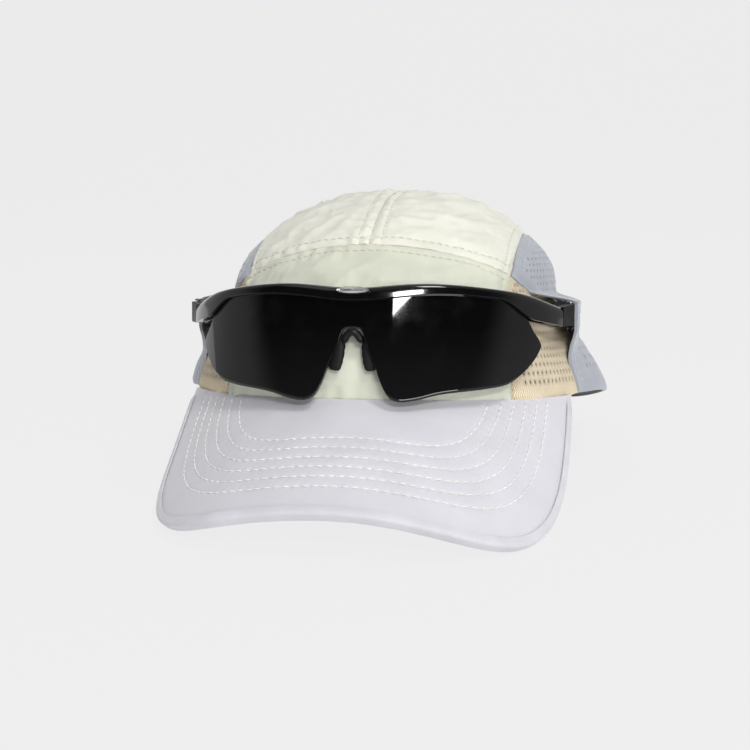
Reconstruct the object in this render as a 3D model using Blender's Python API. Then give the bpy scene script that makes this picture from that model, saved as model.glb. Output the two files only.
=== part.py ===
"""Running cap with a curved brim and sports eyewear docked in its side pockets.

Units are metres and degrees. The cap is modelled in its own frame: origin at the head's centre near the
hem, front towards -Y, +Z up. Every object hangs under the empty "cap_stance", which tips the whole cap
the way it stands on a table: on the two brim corners and the back hem.
"""
import math

import bmesh
import bpy
from mathutils import Matrix, Vector

# ---------------------------------------------------------------- stance on the table
STANCE_TILT = 3.61         # front up
STANCE_RISE = 0.02492      # lifts the lowest points to z = 0
STANCE_SHIFT = 0.01925     # centres the footprint front to back

# ---------------------------------------------------------------- crown
HALF_WIDTH = 0.0844
FRONT_REACH = 0.1000
BACK_REACH = 0.1076
CROWN_RISE = 0.0845
RISE_POWER = 0.89
CORNER_TRIM = 0.018        # flattens the plan a little between front and side
HEM_MEAN = -0.0042         # the hem drops from the front to the back
HEM_SLOPE = 0.0158
HEM_ARCH = 0.0056          # the hem lifts over the ears
ARCH_MIDDLE = 84.0
ARCH_SPAN = 31.0
HEM_FLARE = 0.0055
WAIST_PINCH = 0.0100       # sides pulled in where the eyewear pockets lie
WAIST_T = 0.36
WAIST_SPAN = 0.22
CLOTH = 0.0009
MESH_CLOTH = 0.0008
SEAM_THETA = 39.85         # the two side seams
SEAM_GAP = 0.15
ARCH_PSI = 46.0            # top seam of the front panel
OPENING_THETA = 23.0       # arched opening at the back
OPENING_PSI = 24.0

# ---------------------------------------------------------------- side pockets
MESH_REAR = 118.0
MESH_REAR_PSI = 116.5
MESH_SINK = 0.0013         # the mesh sinks behind the outer panel
FLAP_LIFT = 0.0014
OVERLAP_FROM = 50.0
OVERLAP_TO = 66.0
FLAP_HEM = 64.5
FLAP_TOP = 50.2
CUTOUT_FROM = 0.72         # height fraction where the free front edge starts to swing forward
REAR_CORNER = 180.0 - SEAM_THETA - SEAM_GAP
POCKET_X = 0.0768          # outer skin of the pocket where the temple lies
POCKET_HALF = 0.0070       # half height of the fully pushed-out strip
POCKET_ABOVE = 0.0090       # how far the push fades above and below it, and towards the back
POCKET_BELOW = 0.020
POCKET_BACK = 0.040
POCKET_FADE = 0.035
SEAM_HOLD = 0.08           # the seam keeps the panel on the crown next to it

# ---------------------------------------------------------------- sweatband and tapes
BAND_OFFSET = -0.0036
BAND_CLOTH = 0.0011
BAND_END = 140.0
BAND_LOW_T = 0.012
BAND_TOP_T = 0.31
TAPE_OFFSET = -0.0018
TAPE_CLOTH = 0.0004
TAPE_HALF = 5.0            # degrees

# ---------------------------------------------------------------- brim
BRIM_BEND = 0.0980
BRIM_SLOPE = 30.5
BRIM_HALF = 0.0855
BRIM_LENGTH = 0.0571
BRIM_SIDE = -0.0560
BRIM_SIDE_POWER = 4.8
BRIM_FRONT_POWER = 3.6
BRIM_ORIGIN_Z = 0.0116
COVER = 0.0005
BOARD = 0.0012
PLY_GAP = 0.0003
BIND_WALL = 0.0005
BIND_WIDTH = 0.0034
HEM_GAP = 0.0005
ROOT_BELOW = 0.0003        # the brim's root lies this far under the hem
ROOT_REACH = 0.045         # and its lift has faded this far from the hem

# ---------------------------------------------------------------- strap and buckle
STRAP_MID_Z = -0.0078
STRAP_HALF = 0.0070
WEB = 0.0012
STRAP_INSET = 0.0036       # the panels lean in above their hem
STRAP_FLAT_Y = 0.1050      # straight run through the buckle
TAB_WEB = 0.0010
BUCKLE_HALF = 0.0096
BUCKLE_WALL = 0.0014
BUCKLE_SPAN = (-0.0080, 0.0140)
BUCKLE_FLOOR = (0.1026, 0.1035)
BUCKLE_TOP = 0.1114
CAM_NOSE = 0.0026
CAM_TIP = -0.0112
CAM_PIN = (0.0025, 0.1088)
TAB_BAR = (0.0115, 0.1094)
PIN_RADIUS = 0.0008
PIN_BORE = 0.0011
BAR_RADIUS = 0.0012

# ---------------------------------------------------------------- eyewear
EYE_PLACE = (0.0, -0.0995, 0.0470)
EYE_PITCH = -14.25
LENS_RADIUS = 0.0783
LENS_THICK = 0.0018
LENS_GAP = 0.0004          # between the lens and the groove that takes it
BAR_END = 0.0860
BAR_FRONT = 0.0016         # faces of the bar, out from the lens face
BAR_BACK = -0.0040
EMBLEM_DROP = 0.0013       # centre of the badge below the bar's top edge
EMBLEM_HALF_W = 0.0058
EMBLEM_HALF_H = 0.0012
EMBLEM_THICK = 0.0006
CLIP_HALF = 0.0030         # nose clip
CLIP_ARC = 75.0
CLIP_TOP = -0.01215
CLIP_DROP = 0.0047
CLIP_BEHIND = (0.0005, 0.0020)
CLIP_RADIUS = 0.0013
PAD_SIZE = (0.0022, 0.0015, 0.0062)
PAD_PLACE = (0.0056, 0.0038, -0.0188)
PAD_SPLAY = 6.0
PAD_TURN = 10.0
TEMPLE_X = 0.0734
HINGE_Y = -0.0490
HINGE_Z = 0.0370
TEMPLE_PITCH = -4.3
SCREW_RADIUS = 0.0006
SCREW_BORE = 0.0009
EAR_HALF = 0.0040
SLOT_HALF = 0.0022

ROUND = 12


# ================================================================ small helpers
def rad(degrees):
    return math.radians(degrees)


def smooth(value):
    value = min(1.0, max(0.0, value))
    return value * value * (3.0 - 2.0 * value)


def lerp(a, b, f):
    return a + (b - a) * f


def spread(start, end, count):
    return [lerp(start, end, i / (count - 1)) for i in range(count)]


def make_material(name, colour, roughness, metallic=0.0, alpha=1.0):
    material = bpy.data.materials.new(name)
    material.use_nodes = True
    shader = material.node_tree.nodes["Principled BSDF"]
    shader.inputs["Base Color"].default_value = (*colour, 1.0)
    shader.inputs["Roughness"].default_value = roughness
    shader.inputs["Metallic"].default_value = metallic
    shader.inputs["Alpha"].default_value = alpha
    material.diffuse_color = (*colour, alpha)
    return material


def make_empty(name, location, pitch, parent):
    empty = bpy.data.objects.new(name, None)
    empty.location = location
    empty.rotation_euler = (rad(pitch), 0.0, 0.0)
    empty.parent = parent
    bpy.context.scene.collection.objects.link(empty)
    return empty


def make_object(name, bm, look, parent, sharp=35.0):
    """Close, orient and link one piece; look is (colour, roughness, metallic)."""
    bmesh.ops.remove_doubles(bm, verts=bm.verts, dist=1e-6)
    bmesh.ops.dissolve_degenerate(bm, edges=bm.edges, dist=1e-7)
    bmesh.ops.recalc_face_normals(bm, faces=bm.faces)
    mesh = bpy.data.meshes.new(name)
    bm.to_mesh(mesh)
    bm.free()
    mesh.materials.append(make_material(name, *look))
    mesh.shade_smooth()
    mesh.set_sharp_from_angle(angle=rad(sharp))
    obj = bpy.data.objects.new(name, mesh)
    obj.parent = parent
    bpy.context.scene.collection.objects.link(obj)
    return obj


def cut(obj, cutter, operation="DIFFERENCE"):
    cutter.hide_render = True
    cutter.display_type = "WIRE"
    modifier = obj.modifiers.new(cutter.name, "BOOLEAN")
    modifier.operation = operation
    modifier.solver = "EXACT"
    modifier.object = cutter


def loft(sections, caps=True):
    """Skin a row of equal point rings into one closed body."""
    bm = bmesh.new()
    rings = [[bm.verts.new(point) for point in ring] for ring in sections]
    count = len(rings[0])
    for a, b in zip(rings, rings[1:]):
        for k in range(count):
            m = (k + 1) % count
            bm.faces.new((a[k], a[m], b[m], b[k]))
    if caps:
        bm.faces.new(rings[0])
        bm.faces.new(rings[-1])
    return bm


def two_skins(outer, inner):
    """Close two grids of points, one over the other, with a rim round them."""
    bm = bmesh.new()
    top = [[bm.verts.new(p) for p in row] for row in outer]
    low = [[bm.verts.new(p) for p in row] for row in inner]
    last_i = len(top) - 1
    last_j = len(top[0]) - 1
    for i in range(last_i):
        for j in range(last_j):
            bm.faces.new((top[i][j], top[i + 1][j], top[i + 1][j + 1], top[i][j + 1]))
            bm.faces.new((low[i][j], low[i][j + 1], low[i + 1][j + 1], low[i + 1][j]))
    for i in range(last_i):
        for j in (0, last_j):
            bm.faces.new((top[i][j], top[i + 1][j], low[i + 1][j], low[i][j]))
    for j in range(last_j):
        for i in (0, last_i):
            bm.faces.new((top[i][j], top[i][j + 1], low[i][j + 1], low[i][j]))
    return bm


def lathe(profile, segments=ROUND):
    """Turn (radius, height) points about Z; the first and last lie on the axis."""
    rings = []
    for radius, height in profile:
        ring = []
        for k in range(segments):
            angle = 2.0 * math.pi * k / segments
            ring.append((radius * math.cos(angle), radius * math.sin(angle), height))
        rings.append(ring)
    return loft(rings)


def prism(outline, low, high):
    """Extrude an XY outline from z = low to z = high."""
    return loft([[(x, y, z) for x, y in outline] for z in (low, high)])


def ribbon_outline(path, thickness):
    """Outline of a band of the given thickness whose middle follows an XY path."""
    left = []
    right = []
    for i, point in enumerate(path):
        before = Vector(path[max(0, i - 1)])
        after = Vector(path[min(len(path) - 1, i + 1)])
        along = (after - before).normalized()
        side = Vector((-along.y, along.x)) * (thickness / 2.0)
        left.append(tuple(Vector(point) + side))
        right.append(tuple(Vector(point) - side))
    return left + right[::-1]


# ================================================================ crown surface
def hem_height(alpha):
    away = (math.degrees(alpha) - ARCH_MIDDLE) / ARCH_SPAN
    return HEM_MEAN + HEM_SLOPE * math.cos(alpha) + HEM_ARCH * math.exp(-away * away)


def crown_at(direction):
    """Outer skin of the crown along a unit direction (z is 0 at the hem, 1 at the apex)."""
    t = min(1.0, max(0.0, direction.z))
    rho = math.sqrt(max(0.0, 1.0 - t * t))
    alpha = math.atan2(abs(direction.x), -direction.y)
    front = alpha < math.pi / 2.0
    trim = 1.0 - CORNER_TRIM * math.sin(2.0 * alpha) ** 2 if front else 1.0
    flare = HEM_FLARE * (1.0 - t) ** 6
    pinch = WAIST_PINCH * math.exp(-(((t - WAIST_T) / WAIST_SPAN) ** 2))
    x = HALF_WIDTH * trim * rho * math.sin(alpha) + math.sin(alpha) ** 4 * (flare - pinch)
    y = -(FRONT_REACH if front else BACK_REACH) * trim * rho * math.cos(alpha)
    z = hem_height(alpha) * (1.0 - t) ** 1.5 + CROWN_RISE * t ** RISE_POWER
    return Vector((math.copysign(x, direction.x), y, z))


def crown_normal(direction):
    """Outward unit normal of the crown, from two small steps on the sphere."""
    step = 1e-3
    first = direction.cross(Vector((0.3, 0.2, 1.0))).normalized()
    second = first.cross(direction).normalized()
    if second.z < 0.0:
        second = -second
    here = crown_at(direction)
    if direction.z + first.z * step < 0.0:
        first = -first
    one = crown_at((direction + first * step).normalized()) - here
    two = crown_at((direction + second * step).normalized()) - here
    normal = one.cross(two).normalized()
    return normal if normal.dot(here - Vector((0.0, 0.0, 0.02))) > 0.0 else -normal


def crown_offset(direction, offset):
    return crown_at(direction) + crown_normal(direction) * offset


def by_gore(theta, psi):
    """Direction on a gore: theta sideways from the middle seam, psi from front hem over to back hem."""
    theta = rad(theta)
    psi = rad(psi)
    along = math.cos(theta)
    return Vector((math.sin(theta), -along * math.cos(psi), along * math.sin(psi)))


def by_azimuth(alpha, t):
    """Direction at azimuth alpha from the front, at height t on the unit sphere."""
    rho = math.sqrt(max(0.0, 1.0 - t * t))
    alpha = rad(alpha)
    return Vector((math.sin(alpha) * rho, -math.cos(alpha) * rho, t))


def side_grid(side, psi_range, hem_range, columns, rows, front_edge=None):
    """Directions over a side piece: columns climb from the hem to the side seam."""
    theta = SEAM_THETA + SEAM_GAP
    grid = []
    for f in spread(0.0, 1.0, columns):
        top = by_gore(theta, lerp(*psi_range, f))
        top_alpha = math.degrees(math.atan2(top.x, -top.y))
        row = []
        for v in spread(0.0, 1.0, rows):
            alpha = lerp(lerp(*hem_range, f), top_alpha, v)
            if front_edge:
                alpha += front_edge(v) * (1.0 - f) ** 2
            d = by_azimuth(alpha, top.z * v)
            row.append(Vector((side * d.x, d.y, d.z)))
        grid.append(row)
    return grid


def crown_shell(name, places, offset, cloth, look, parent):
    """A cloth piece on the crown; places is a grid of directions, offset a number or a function."""
    outer = []
    inner = []
    for row in places:
        lifts = [offset(d) if callable(offset) else offset for d in row]
        outer.append([crown_offset(d, lift) for d, lift in zip(row, lifts)])
        inner.append([crown_offset(d, lift - cloth) for d, lift in zip(row, lifts)])
    return make_object(name, two_skins(outer, inner), look, parent)


# ================================================================ crown pieces
def make_front_panel(parent):
    side = SEAM_THETA - SEAM_GAP
    grid = [[by_gore(theta, psi) for psi in spread(0.0, ARCH_PSI - SEAM_GAP, 7)]
            for theta in spread(-side, side, 13)]
    crown_shell("front_panel", grid, 0.0, CLOTH, ((0.70, 0.73, 0.60), 0.75), parent)


def back_limit(theta):
    """The crown panels reach the back hem except over the arched opening."""
    if theta >= OPENING_THETA:
        return 180.0
    return 180.0 - OPENING_PSI * math.sqrt(1.0 - (theta / OPENING_THETA) ** 2)


def make_crown_panels(parent):
    arch = [OPENING_THETA * f for f in (0.35, 0.62, 0.82, 0.94, 1.0)]
    thetas = [SEAM_GAP] + arch + [31.0, SEAM_THETA - SEAM_GAP]
    for side, name in ((-1, "crown_panel_left"), (1, "crown_panel_right")):
        grid = [[by_gore(side * theta, psi) for psi in spread(ARCH_PSI + SEAM_GAP, back_limit(theta), 17)]
                for theta in thetas]
        crown_shell(name, grid, 0.0, CLOTH, ((0.86, 0.86, 0.77), 0.75), parent)


def make_seam_tapes(parent):
    look = ((0.30, 0.30, 0.29), 0.9)
    bands = [("center_seam_tape", 0.0, ARCH_PSI + 2.0, 180.0 - OPENING_PSI - 3.0),
             ("side_seam_tape_left", -SEAM_THETA, 26.0, 150.0),
             ("side_seam_tape_right", SEAM_THETA, 26.0, 150.0)]
    for name, theta, start, end in bands:
        half = TAPE_HALF * (0.8 if theta else 1.0)
        grid = [[by_gore(theta + side * half, psi) for psi in spread(start, end, 17)]
                for side in (-1.0, 0.0, 1.0)]
        offset = TAPE_OFFSET if not theta else TAPE_OFFSET - MESH_SINK
        crown_shell(name, grid, offset, TAPE_CLOTH, look, parent)


def overlap(direction):
    """0 in front of the pocket's mouth, 1 well behind it."""
    alpha = math.degrees(math.atan2(abs(direction.x), -direction.y))
    return smooth((alpha - OVERLAP_FROM) / (OVERLAP_TO - OVERLAP_FROM))


def make_side_meshes(parent):
    look = ((0.72, 0.60, 0.43), 0.85)
    hem = (SEAM_THETA + SEAM_GAP, MESH_REAR)
    for side, name in ((-1, "side_mesh_left"), (1, "side_mesh_right")):
        grid = side_grid(side, (0.0, MESH_REAR_PSI), hem, 14, 8)
        crown_shell(name, grid, lambda d: -MESH_SINK * overlap(d), MESH_CLOTH, look, parent)


def flap_cutout(v):
    """How far the pocket's free front edge lies behind a straight line, at height fraction v."""
    straight = lerp(FLAP_HEM, FLAP_TOP, v)
    swing = smooth((v - CUTOUT_FROM) / (1.0 - CUTOUT_FROM)) ** 0.8
    return lerp(FLAP_HEM, FLAP_TOP, swing) - straight


def pocket_pull(point):
    """How far the temple in the pocket pushes the outer panel out, 0 to 1."""
    temple_z = HINGE_Z + (HINGE_Y - point.y) * math.tan(rad(-TEMPLE_PITCH))
    above = 1.0 - (point.z - temple_z - POCKET_HALF) / POCKET_ABOVE
    below = 1.0 - (temple_z - POCKET_HALF - point.z) / POCKET_BELOW
    fade = 1.0 - smooth((point.y - POCKET_BACK) / POCKET_FADE)
    return smooth(above) * smooth(below) * fade


def outer_panel_point(direction, depth):
    offset = FLAP_LIFT * (1.0 - overlap(direction)) - depth
    point = crown_offset(direction, offset)
    reach = POCKET_X - depth - abs(point.x)
    sewn = smooth((abs(direction.x) - math.sin(rad(SEAM_THETA + SEAM_GAP))) / SEAM_HOLD)
    if reach > 0.0:
        point.x += math.copysign(reach * pocket_pull(point) * sewn, point.x)
    return point


def make_side_panels(parent):
    look = ((0.43, 0.48, 0.55), 0.7)
    for side, name in ((-1, "side_panel_left"), (1, "side_panel_right")):
        psi = (ARCH_PSI + SEAM_GAP, 180.0)
        grid = side_grid(side, psi, (FLAP_HEM, REAR_CORNER), 17, 11, flap_cutout)
        outer = [[outer_panel_point(d, 0.0) for d in row] for row in grid]
        inner = [[outer_panel_point(d, CLOTH) for d in row] for row in grid]
        make_object(name, two_skins(outer, inner), look, parent)


def make_sweatband(parent):
    grid = [[by_azimuth(alpha, t) for t in spread(BAND_LOW_T, BAND_TOP_T, 5)]
            for alpha in spread(-BAND_END, BAND_END, 41)]
    crown_shell("sweatband", grid, BAND_OFFSET, BAND_CLOTH, ((0.075, 0.075, 0.07), 0.9), parent)


# ================================================================ brim
def bent_point(u, v, depth=0.0):
    """Point of the evenly bent brim: u across, v forward down the slope, depth below the top face."""
    slope = rad(BRIM_SLOPE)
    forward = Vector((0.0, -math.cos(slope), -math.sin(slope)))
    up = Vector((0.0, -math.sin(slope), math.cos(slope)))
    angle = u / BRIM_BEND
    out = Vector((1.0, 0.0, 0.0)) * math.sin(angle) + up * math.cos(angle)
    origin = Vector((0.0, -FRONT_REACH, BRIM_ORIGIN_Z))
    return origin + forward * v + out * (BRIM_BEND - depth) - up * BRIM_BEND


def hem_azimuth(x):
    """Azimuth of the front half of the hem at a given x."""
    low, high = 0.0, 90.0
    for _ in range(40):
        middle = (low + high) / 2.0
        if crown_at(by_azimuth(middle, 0.0)).x < abs(x):
            low = middle
        else:
            high = middle
    return low


def brim_root(u):
    """v where the brim meets the hem, and how far the root has to lift to lie under it."""
    slope = rad(BRIM_SLOPE)
    x = BRIM_BEND * math.sin(u / BRIM_BEND)
    drop = BRIM_BEND * (1.0 - math.cos(u / BRIM_BEND))
    azimuth = hem_azimuth(x)
    wall = crown_offset(by_azimuth(azimuth, 0.0), HEM_GAP)
    v = (drop * math.sin(slope) - FRONT_REACH - wall.y) / math.cos(slope)
    return v, hem_height(rad(azimuth)) - ROOT_BELOW - bent_point(u, v).z


def brim_attach(u):
    return brim_root(u)[0]


def brim_point(u, v, depth=0.0):
    """Point of the brim, whose root is lifted up to the hem it is sewn to."""
    attach, lift = brim_root(u)
    fade = 1.0 - smooth((v - attach) / ROOT_REACH)
    return bent_point(u, v, depth) + Vector((0.0, 0.0, lift * fade))


def brim_outline(inset, samples=240):
    """Right-to-left edge of the brim in (u, v), moved in by inset."""
    length = BRIM_LENGTH - BRIM_SIDE
    raw = []
    for k in range(samples + 1):
        angle = math.pi * k / samples
        c, s = math.cos(angle), math.sin(angle)
        u = BRIM_HALF * math.copysign(abs(c) ** (2.0 / BRIM_SIDE_POWER), c)
        raw.append(Vector((u, BRIM_SIDE + length * max(0.0, s) ** (2.0 / BRIM_FRONT_POWER))))
    moved = []
    for k in range(1, samples):
        along = (raw[k + 1] - raw[k - 1]).normalized()
        moved.append(raw[k] + Vector((-along.y, along.x)) * inset)
    return [p for p in moved if p.y > brim_attach(p.x) + 0.0002]


def even_steps(points, count):
    """Resample a polyline to count points of equal spacing."""
    lengths = [0.0]
    for a, b in zip(points, points[1:]):
        lengths.append(lengths[-1] + (b - a).length)
    result = []
    k = 0
    for target in spread(0.0, lengths[-1], count):
        while k < len(points) - 2 and lengths[k + 1] < target:
            k += 1
        part = (target - lengths[k]) / (lengths[k + 1] - lengths[k])
        result.append(points[k].lerp(points[k + 1], min(1.0, part)))
    return result


def brim_ply(name, inset, depth, thickness, look, parent):
    edge = even_steps(brim_outline(inset), 37)
    inner_u = spread(edge[0].x, edge[-1].x, len(edge))
    outer = []
    inner = []
    for rim, u in zip(edge, inner_u):
        root = Vector((u, brim_attach(u)))
        line = [root.lerp(rim, f) for f in spread(0.0, 1.0, 5)]
        outer.append([brim_point(p.x, p.y, depth) for p in line])
        inner.append([brim_point(p.x, p.y, depth + thickness) for p in line])
    make_object(name, two_skins(outer, inner), look, parent)


def make_brim(parent):
    grey = ((0.68, 0.67, 0.72), 0.8)
    inset = BIND_WALL + PLY_GAP
    board_depth = COVER + PLY_GAP
    lower_depth = board_depth + BOARD + PLY_GAP
    brim_ply("brim_upper_cover", inset, 0.0, COVER, grey, parent)
    brim_ply("brim_board", inset + 0.0004, board_depth, BOARD, ((0.35, 0.36, 0.38), 0.6), parent)
    brim_ply("brim_lower_cover", inset, lower_depth, COVER, grey, parent)


def make_brim_binding(parent):
    """A folded tape round the brim's edge, open towards the crown."""
    stack = 2.0 * COVER + BOARD + 2.0 * PLY_GAP
    top = -PLY_GAP - BIND_WALL
    low = stack + PLY_GAP + BIND_WALL
    tip = BIND_WIDTH
    wall = BIND_WALL
    profile = [(tip, top), (wall, top), (0.0, top + wall), (0.0, low - wall), (wall, low), (tip, low),
               (tip, low - wall), (wall, low - wall), (wall, top + wall), (tip, top + wall)]
    edge = even_steps(brim_outline(0.0), 45)[1:-1]
    sections = []
    for k, point in enumerate(edge):
        along = (edge[min(k + 1, len(edge) - 1)] - edge[max(k - 1, 0)]).normalized()
        inward = Vector((-along.y, along.x))
        ring = []
        for inset, depth in profile:
            place = point + inward * inset
            ring.append(brim_point(place.x, place.y, depth))
        sections.append(ring)
    make_object("brim_edge_binding", loft(sections), ((0.66, 0.65, 0.70), 0.8), parent)


# ================================================================ back strap and cam buckle
def hem_ring(alpha, offset):
    """XY of the back of the hem at azimuth alpha, moved in or out."""
    point = crown_offset(by_azimuth(alpha, 0.0), offset)
    return (point.x, point.y)


def mirrored(point):
    return (-point[0], point[1])


def make_strap(parent):
    """Webbing sewn inside the left panel, through the buckle, its tail behind the tab on the right."""
    left = [mirrored(hem_ring(alpha, -STRAP_INSET)) for alpha in spread(143.0, 167.0, 8)]
    run = [(-0.0125, STRAP_FLAT_Y - 0.0008), (-0.0085, STRAP_FLAT_Y), (0.0095, STRAP_FLAT_Y)]
    tail = [(0.0140, STRAP_FLAT_Y - 0.0006), (0.0185, STRAP_FLAT_Y - 0.0031)]
    tail += [hem_ring(alpha, -STRAP_INSET - 0.0032) for alpha in spread(163.0, 143.0, 6)]
    low = STRAP_MID_Z - STRAP_HALF
    high = STRAP_MID_Z + STRAP_HALF
    bm = prism(ribbon_outline(left + run + tail, WEB), low, high)
    make_object("back_strap", bm, ((0.17, 0.17, 0.18), 0.9), parent)


def make_strap_tab(parent):
    """Short folded webbing that holds the buckle by its bar."""
    bar_x, bar_y = TAB_BAR
    turn = BAR_RADIUS + 0.00035 + TAB_WEB / 2.0
    outer = [hem_ring(alpha, -STRAP_INSET + 0.0001) for alpha in spread(143.0, 161.0, 5)]
    outer += [(0.0215, 0.1062), (0.0165, 0.1098)]
    loop = []
    for angle in spread(75.0, 285.0, 9):
        loop.append((bar_x + turn * math.cos(rad(angle)), bar_y + turn * math.sin(rad(angle))))
    inner = [(0.0165, 0.1069), (0.0212, 0.1041)]
    inner += [hem_ring(alpha, -STRAP_INSET - 0.0013) for alpha in spread(161.0, 143.0, 5)]
    low = STRAP_MID_Z - STRAP_HALF
    high = STRAP_MID_Z + STRAP_HALF
    bm = prism(ribbon_outline(outer + loop + inner, TAB_WEB), low, high)
    make_object("strap_tab", bm, ((0.17, 0.17, 0.18), 0.9), parent)


def make_pin(name, place, radius, low, high, look, parent):
    bm = lathe([(radius, low), (radius, high)])
    obj = make_object(name, bm, look, parent)
    obj.location = (*place, 0.0)
    return obj


def make_buckle(parent):
    """Channel with two walls, a bar for the tab and bores for the cam's pin."""
    metal = ((0.045, 0.045, 0.05), 0.4)
    floor_in, floor_out = BUCKLE_FLOOR
    wall_top = BUCKLE_TOP
    z_low = STRAP_MID_Z - BUCKLE_HALF
    z_high = STRAP_MID_Z + BUCKLE_HALF
    inner_low = z_low + BUCKLE_WALL
    inner_high = z_high - BUCKLE_WALL
    profile = [(floor_in, z_low), (wall_top, z_low), (wall_top, inner_low), (floor_out, inner_low),
               (floor_out, inner_high), (wall_top, inner_high), (wall_top, z_high), (floor_in, z_high)]
    bm = loft([[(x, y, z) for y, z in profile] for x in BUCKLE_SPAN])
    frame = make_object("buckle_frame", bm, metal, parent)
    bar = make_pin("buckle_bar_union", TAB_BAR, BAR_RADIUS, z_low + 0.0005, z_high - 0.0005, metal, parent)
    cut(frame, bar, "UNION")
    bore = make_pin("buckle_bore_cutter", CAM_PIN, PIN_BORE, z_low - 0.001, z_high + 0.001, metal, parent)
    cut(frame, bore)
    make_pin("cam_pin", CAM_PIN, PIN_RADIUS, z_low, z_high, ((0.55, 0.56, 0.58), 0.3, 1.0), parent)


def make_cam_lever(parent):
    """Cam that nips the strap, with a flat lever that lies over it; its origin is on the pin."""
    outline = []
    for angle in spread(-140.0, 60.0, 11):
        outline.append((CAM_NOSE * math.cos(rad(angle)), CAM_NOSE * math.sin(rad(angle))))
    outline += [(CAM_TIP + 0.0012, 0.0021), (CAM_TIP, 0.0017), (CAM_TIP, 0.0011), (-0.0030, 0.0006)]
    half = BUCKLE_HALF - BUCKLE_WALL - 0.0004
    pivot = make_empty("cam_pivot", (*CAM_PIN, STRAP_MID_Z), 0.0, parent)
    cam = make_object("cam_lever", prism(outline, -half, half), ((0.05, 0.05, 0.055), 0.35), pivot)
    bore = make_object("cam_bore_cutter", lathe([(PIN_BORE, -0.012), (PIN_BORE, 0.012)]),
                       ((0.1, 0.1, 0.1), 0.5), pivot)
    cut(cam, bore)


# ================================================================ eyewear front
def lens_point(u, h, out=0.0):
    """Point on the lens cylinder: u along the arc, h up, out in front of its face."""
    angle = u / LENS_RADIUS
    radius = LENS_RADIUS + out
    return Vector((radius * math.sin(angle), LENS_RADIUS - radius * math.cos(angle), h))


def dip(u, span):
    """0 at the middle of the bar, 1 away from it."""
    return 1.0 - math.exp(-((u / span) ** 2))


def bar_top(u):
    return 0.0034 + 0.0026 * dip(u, 0.018) - 0.0018 * smooth((abs(u) - 0.060) / 0.026)


def bar_bottom(u):
    return -0.0012 + 0.0038 * dip(u, 0.022) - 0.0058 * smooth((abs(u) - 0.052) / 0.018)


def groove_roof(u):
    """Top of the groove, a little over the lens; it closes near the ends of the bar."""
    near_end = smooth((abs(u) - 0.074) / 0.004)
    return lerp(0.0010 + 0.0032 * dip(u, 0.022), bar_bottom(u) + 0.0002, near_end)


def make_brow_frame(parent):
    """One bar over the whole lens, with a groove underneath that takes the lens."""
    sections = []
    for u in spread(-BAR_END, BAR_END, 39):
        top, low, roof = bar_top(u), bar_bottom(u), groove_roof(u)
        behind = -LENS_THICK - LENS_GAP
        ring = [(BAR_FRONT - 0.0006, top), (BAR_FRONT, top - 0.0010), (BAR_FRONT, low), (LENS_GAP, low),
                (LENS_GAP, roof), (behind, roof), (behind, low), (BAR_BACK, low), (BAR_BACK, top - 0.0014),
                (BAR_BACK + 0.0010, top)]
        sections.append([lens_point(u, h, out) for out, h in ring])
    make_object("brow_frame", loft(sections), ((0.012, 0.012, 0.013), 0.12), parent)


LENS_LOWER = [(0.0, -10.7), (3.0, -11.2), (4.2, -13.8), (6.0, -18.4), (7.7, -22.4), (8.7, -25.0),
              (10.4, -29.5), (12.5, -33.4), (14.6, -35.3), (17.6, -36.0), (23.5, -35.0), (32.0, -32.6),
              (47.0, -30.0), (57.0, -27.6), (63.5, -23.8), (69.3, -19.0), (73.0, -14.6), (74.6, -11.6)]
LENS_UPPER = [(0.0, 0.6), (5.0, 0.7), (10.0, 1.1), (18.0, 2.0), (24.0, 2.8), (30.0, 3.2), (45.0, 3.7),
              (60.0, 3.7), (63.5, 1.8), (66.0, -2.0), (69.3, -6.2), (73.0, -9.6), (74.6, -11.6)]
EXTRA_STATIONS = (0.0275, 0.0395, 0.052, 0.060, 0.066, 0.071)


def along_list(points, x):
    """Height in metres on a list of (distance, height) points in millimetres."""
    x = min(abs(x) * 1000.0, points[-1][0])
    for (x0, h0), (x1, h1) in zip(points, points[1:]):
        if x <= x1:
            return lerp(h0, h1, (x - x0) / (x1 - x0)) / 1000.0
    return points[-1][1] / 1000.0


def make_shield_lens(parent):
    """One wrapped lens with a notch for the nose."""
    half = [p[0] / 1000.0 for p in LENS_LOWER]
    half = sorted(set(half + list(EXTRA_STATIONS)))
    stations = [-u for u in reversed(half[1:])] + half
    outer = []
    inner = []
    for u in stations:
        top = along_list(LENS_UPPER, u)
        low = along_list(LENS_LOWER, u)
        heights = spread(low, top, 5)
        outer.append([lens_point(u, h, 0.0) for h in heights])
        inner.append([lens_point(u, h, -LENS_THICK) for h in heights])
    make_object("shield_lens", two_skins(outer, inner), ((0.02, 0.02, 0.022), 0.05, 0.0, 0.5), parent)


def make_emblem(parent):
    """Plain oval badge on the middle of the bar."""
    sides = 20
    centre_h = bar_top(0.0) - EMBLEM_DROP
    back = -BAR_FRONT - 0.0003
    rings = []
    for y in (back - EMBLEM_THICK, back):
        ring = []
        for k in range(sides):
            angle = 2.0 * math.pi * k / sides
            ring.append((EMBLEM_HALF_W * math.cos(angle), y, centre_h + EMBLEM_HALF_H * math.sin(angle)))
        rings.append(ring)
    make_object("brow_emblem", loft(rings), ((0.6, 0.6, 0.6), 0.3, 1.0), parent)


def tube(path, radius, sides=8):
    sections = []
    for i, point in enumerate(path):
        along = (path[min(i + 1, len(path) - 1)] - path[max(i - 1, 0)]).normalized()
        first = along.cross(Vector((0.0, 1.0, 0.0))).normalized()
        second = along.cross(first)
        ring = []
        for k in range(sides):
            angle = 2.0 * math.pi * k / sides
            ring.append(point + (first * math.cos(angle) + second * math.sin(angle)) * radius)
        sections.append(ring)
    return loft(sections)


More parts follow.
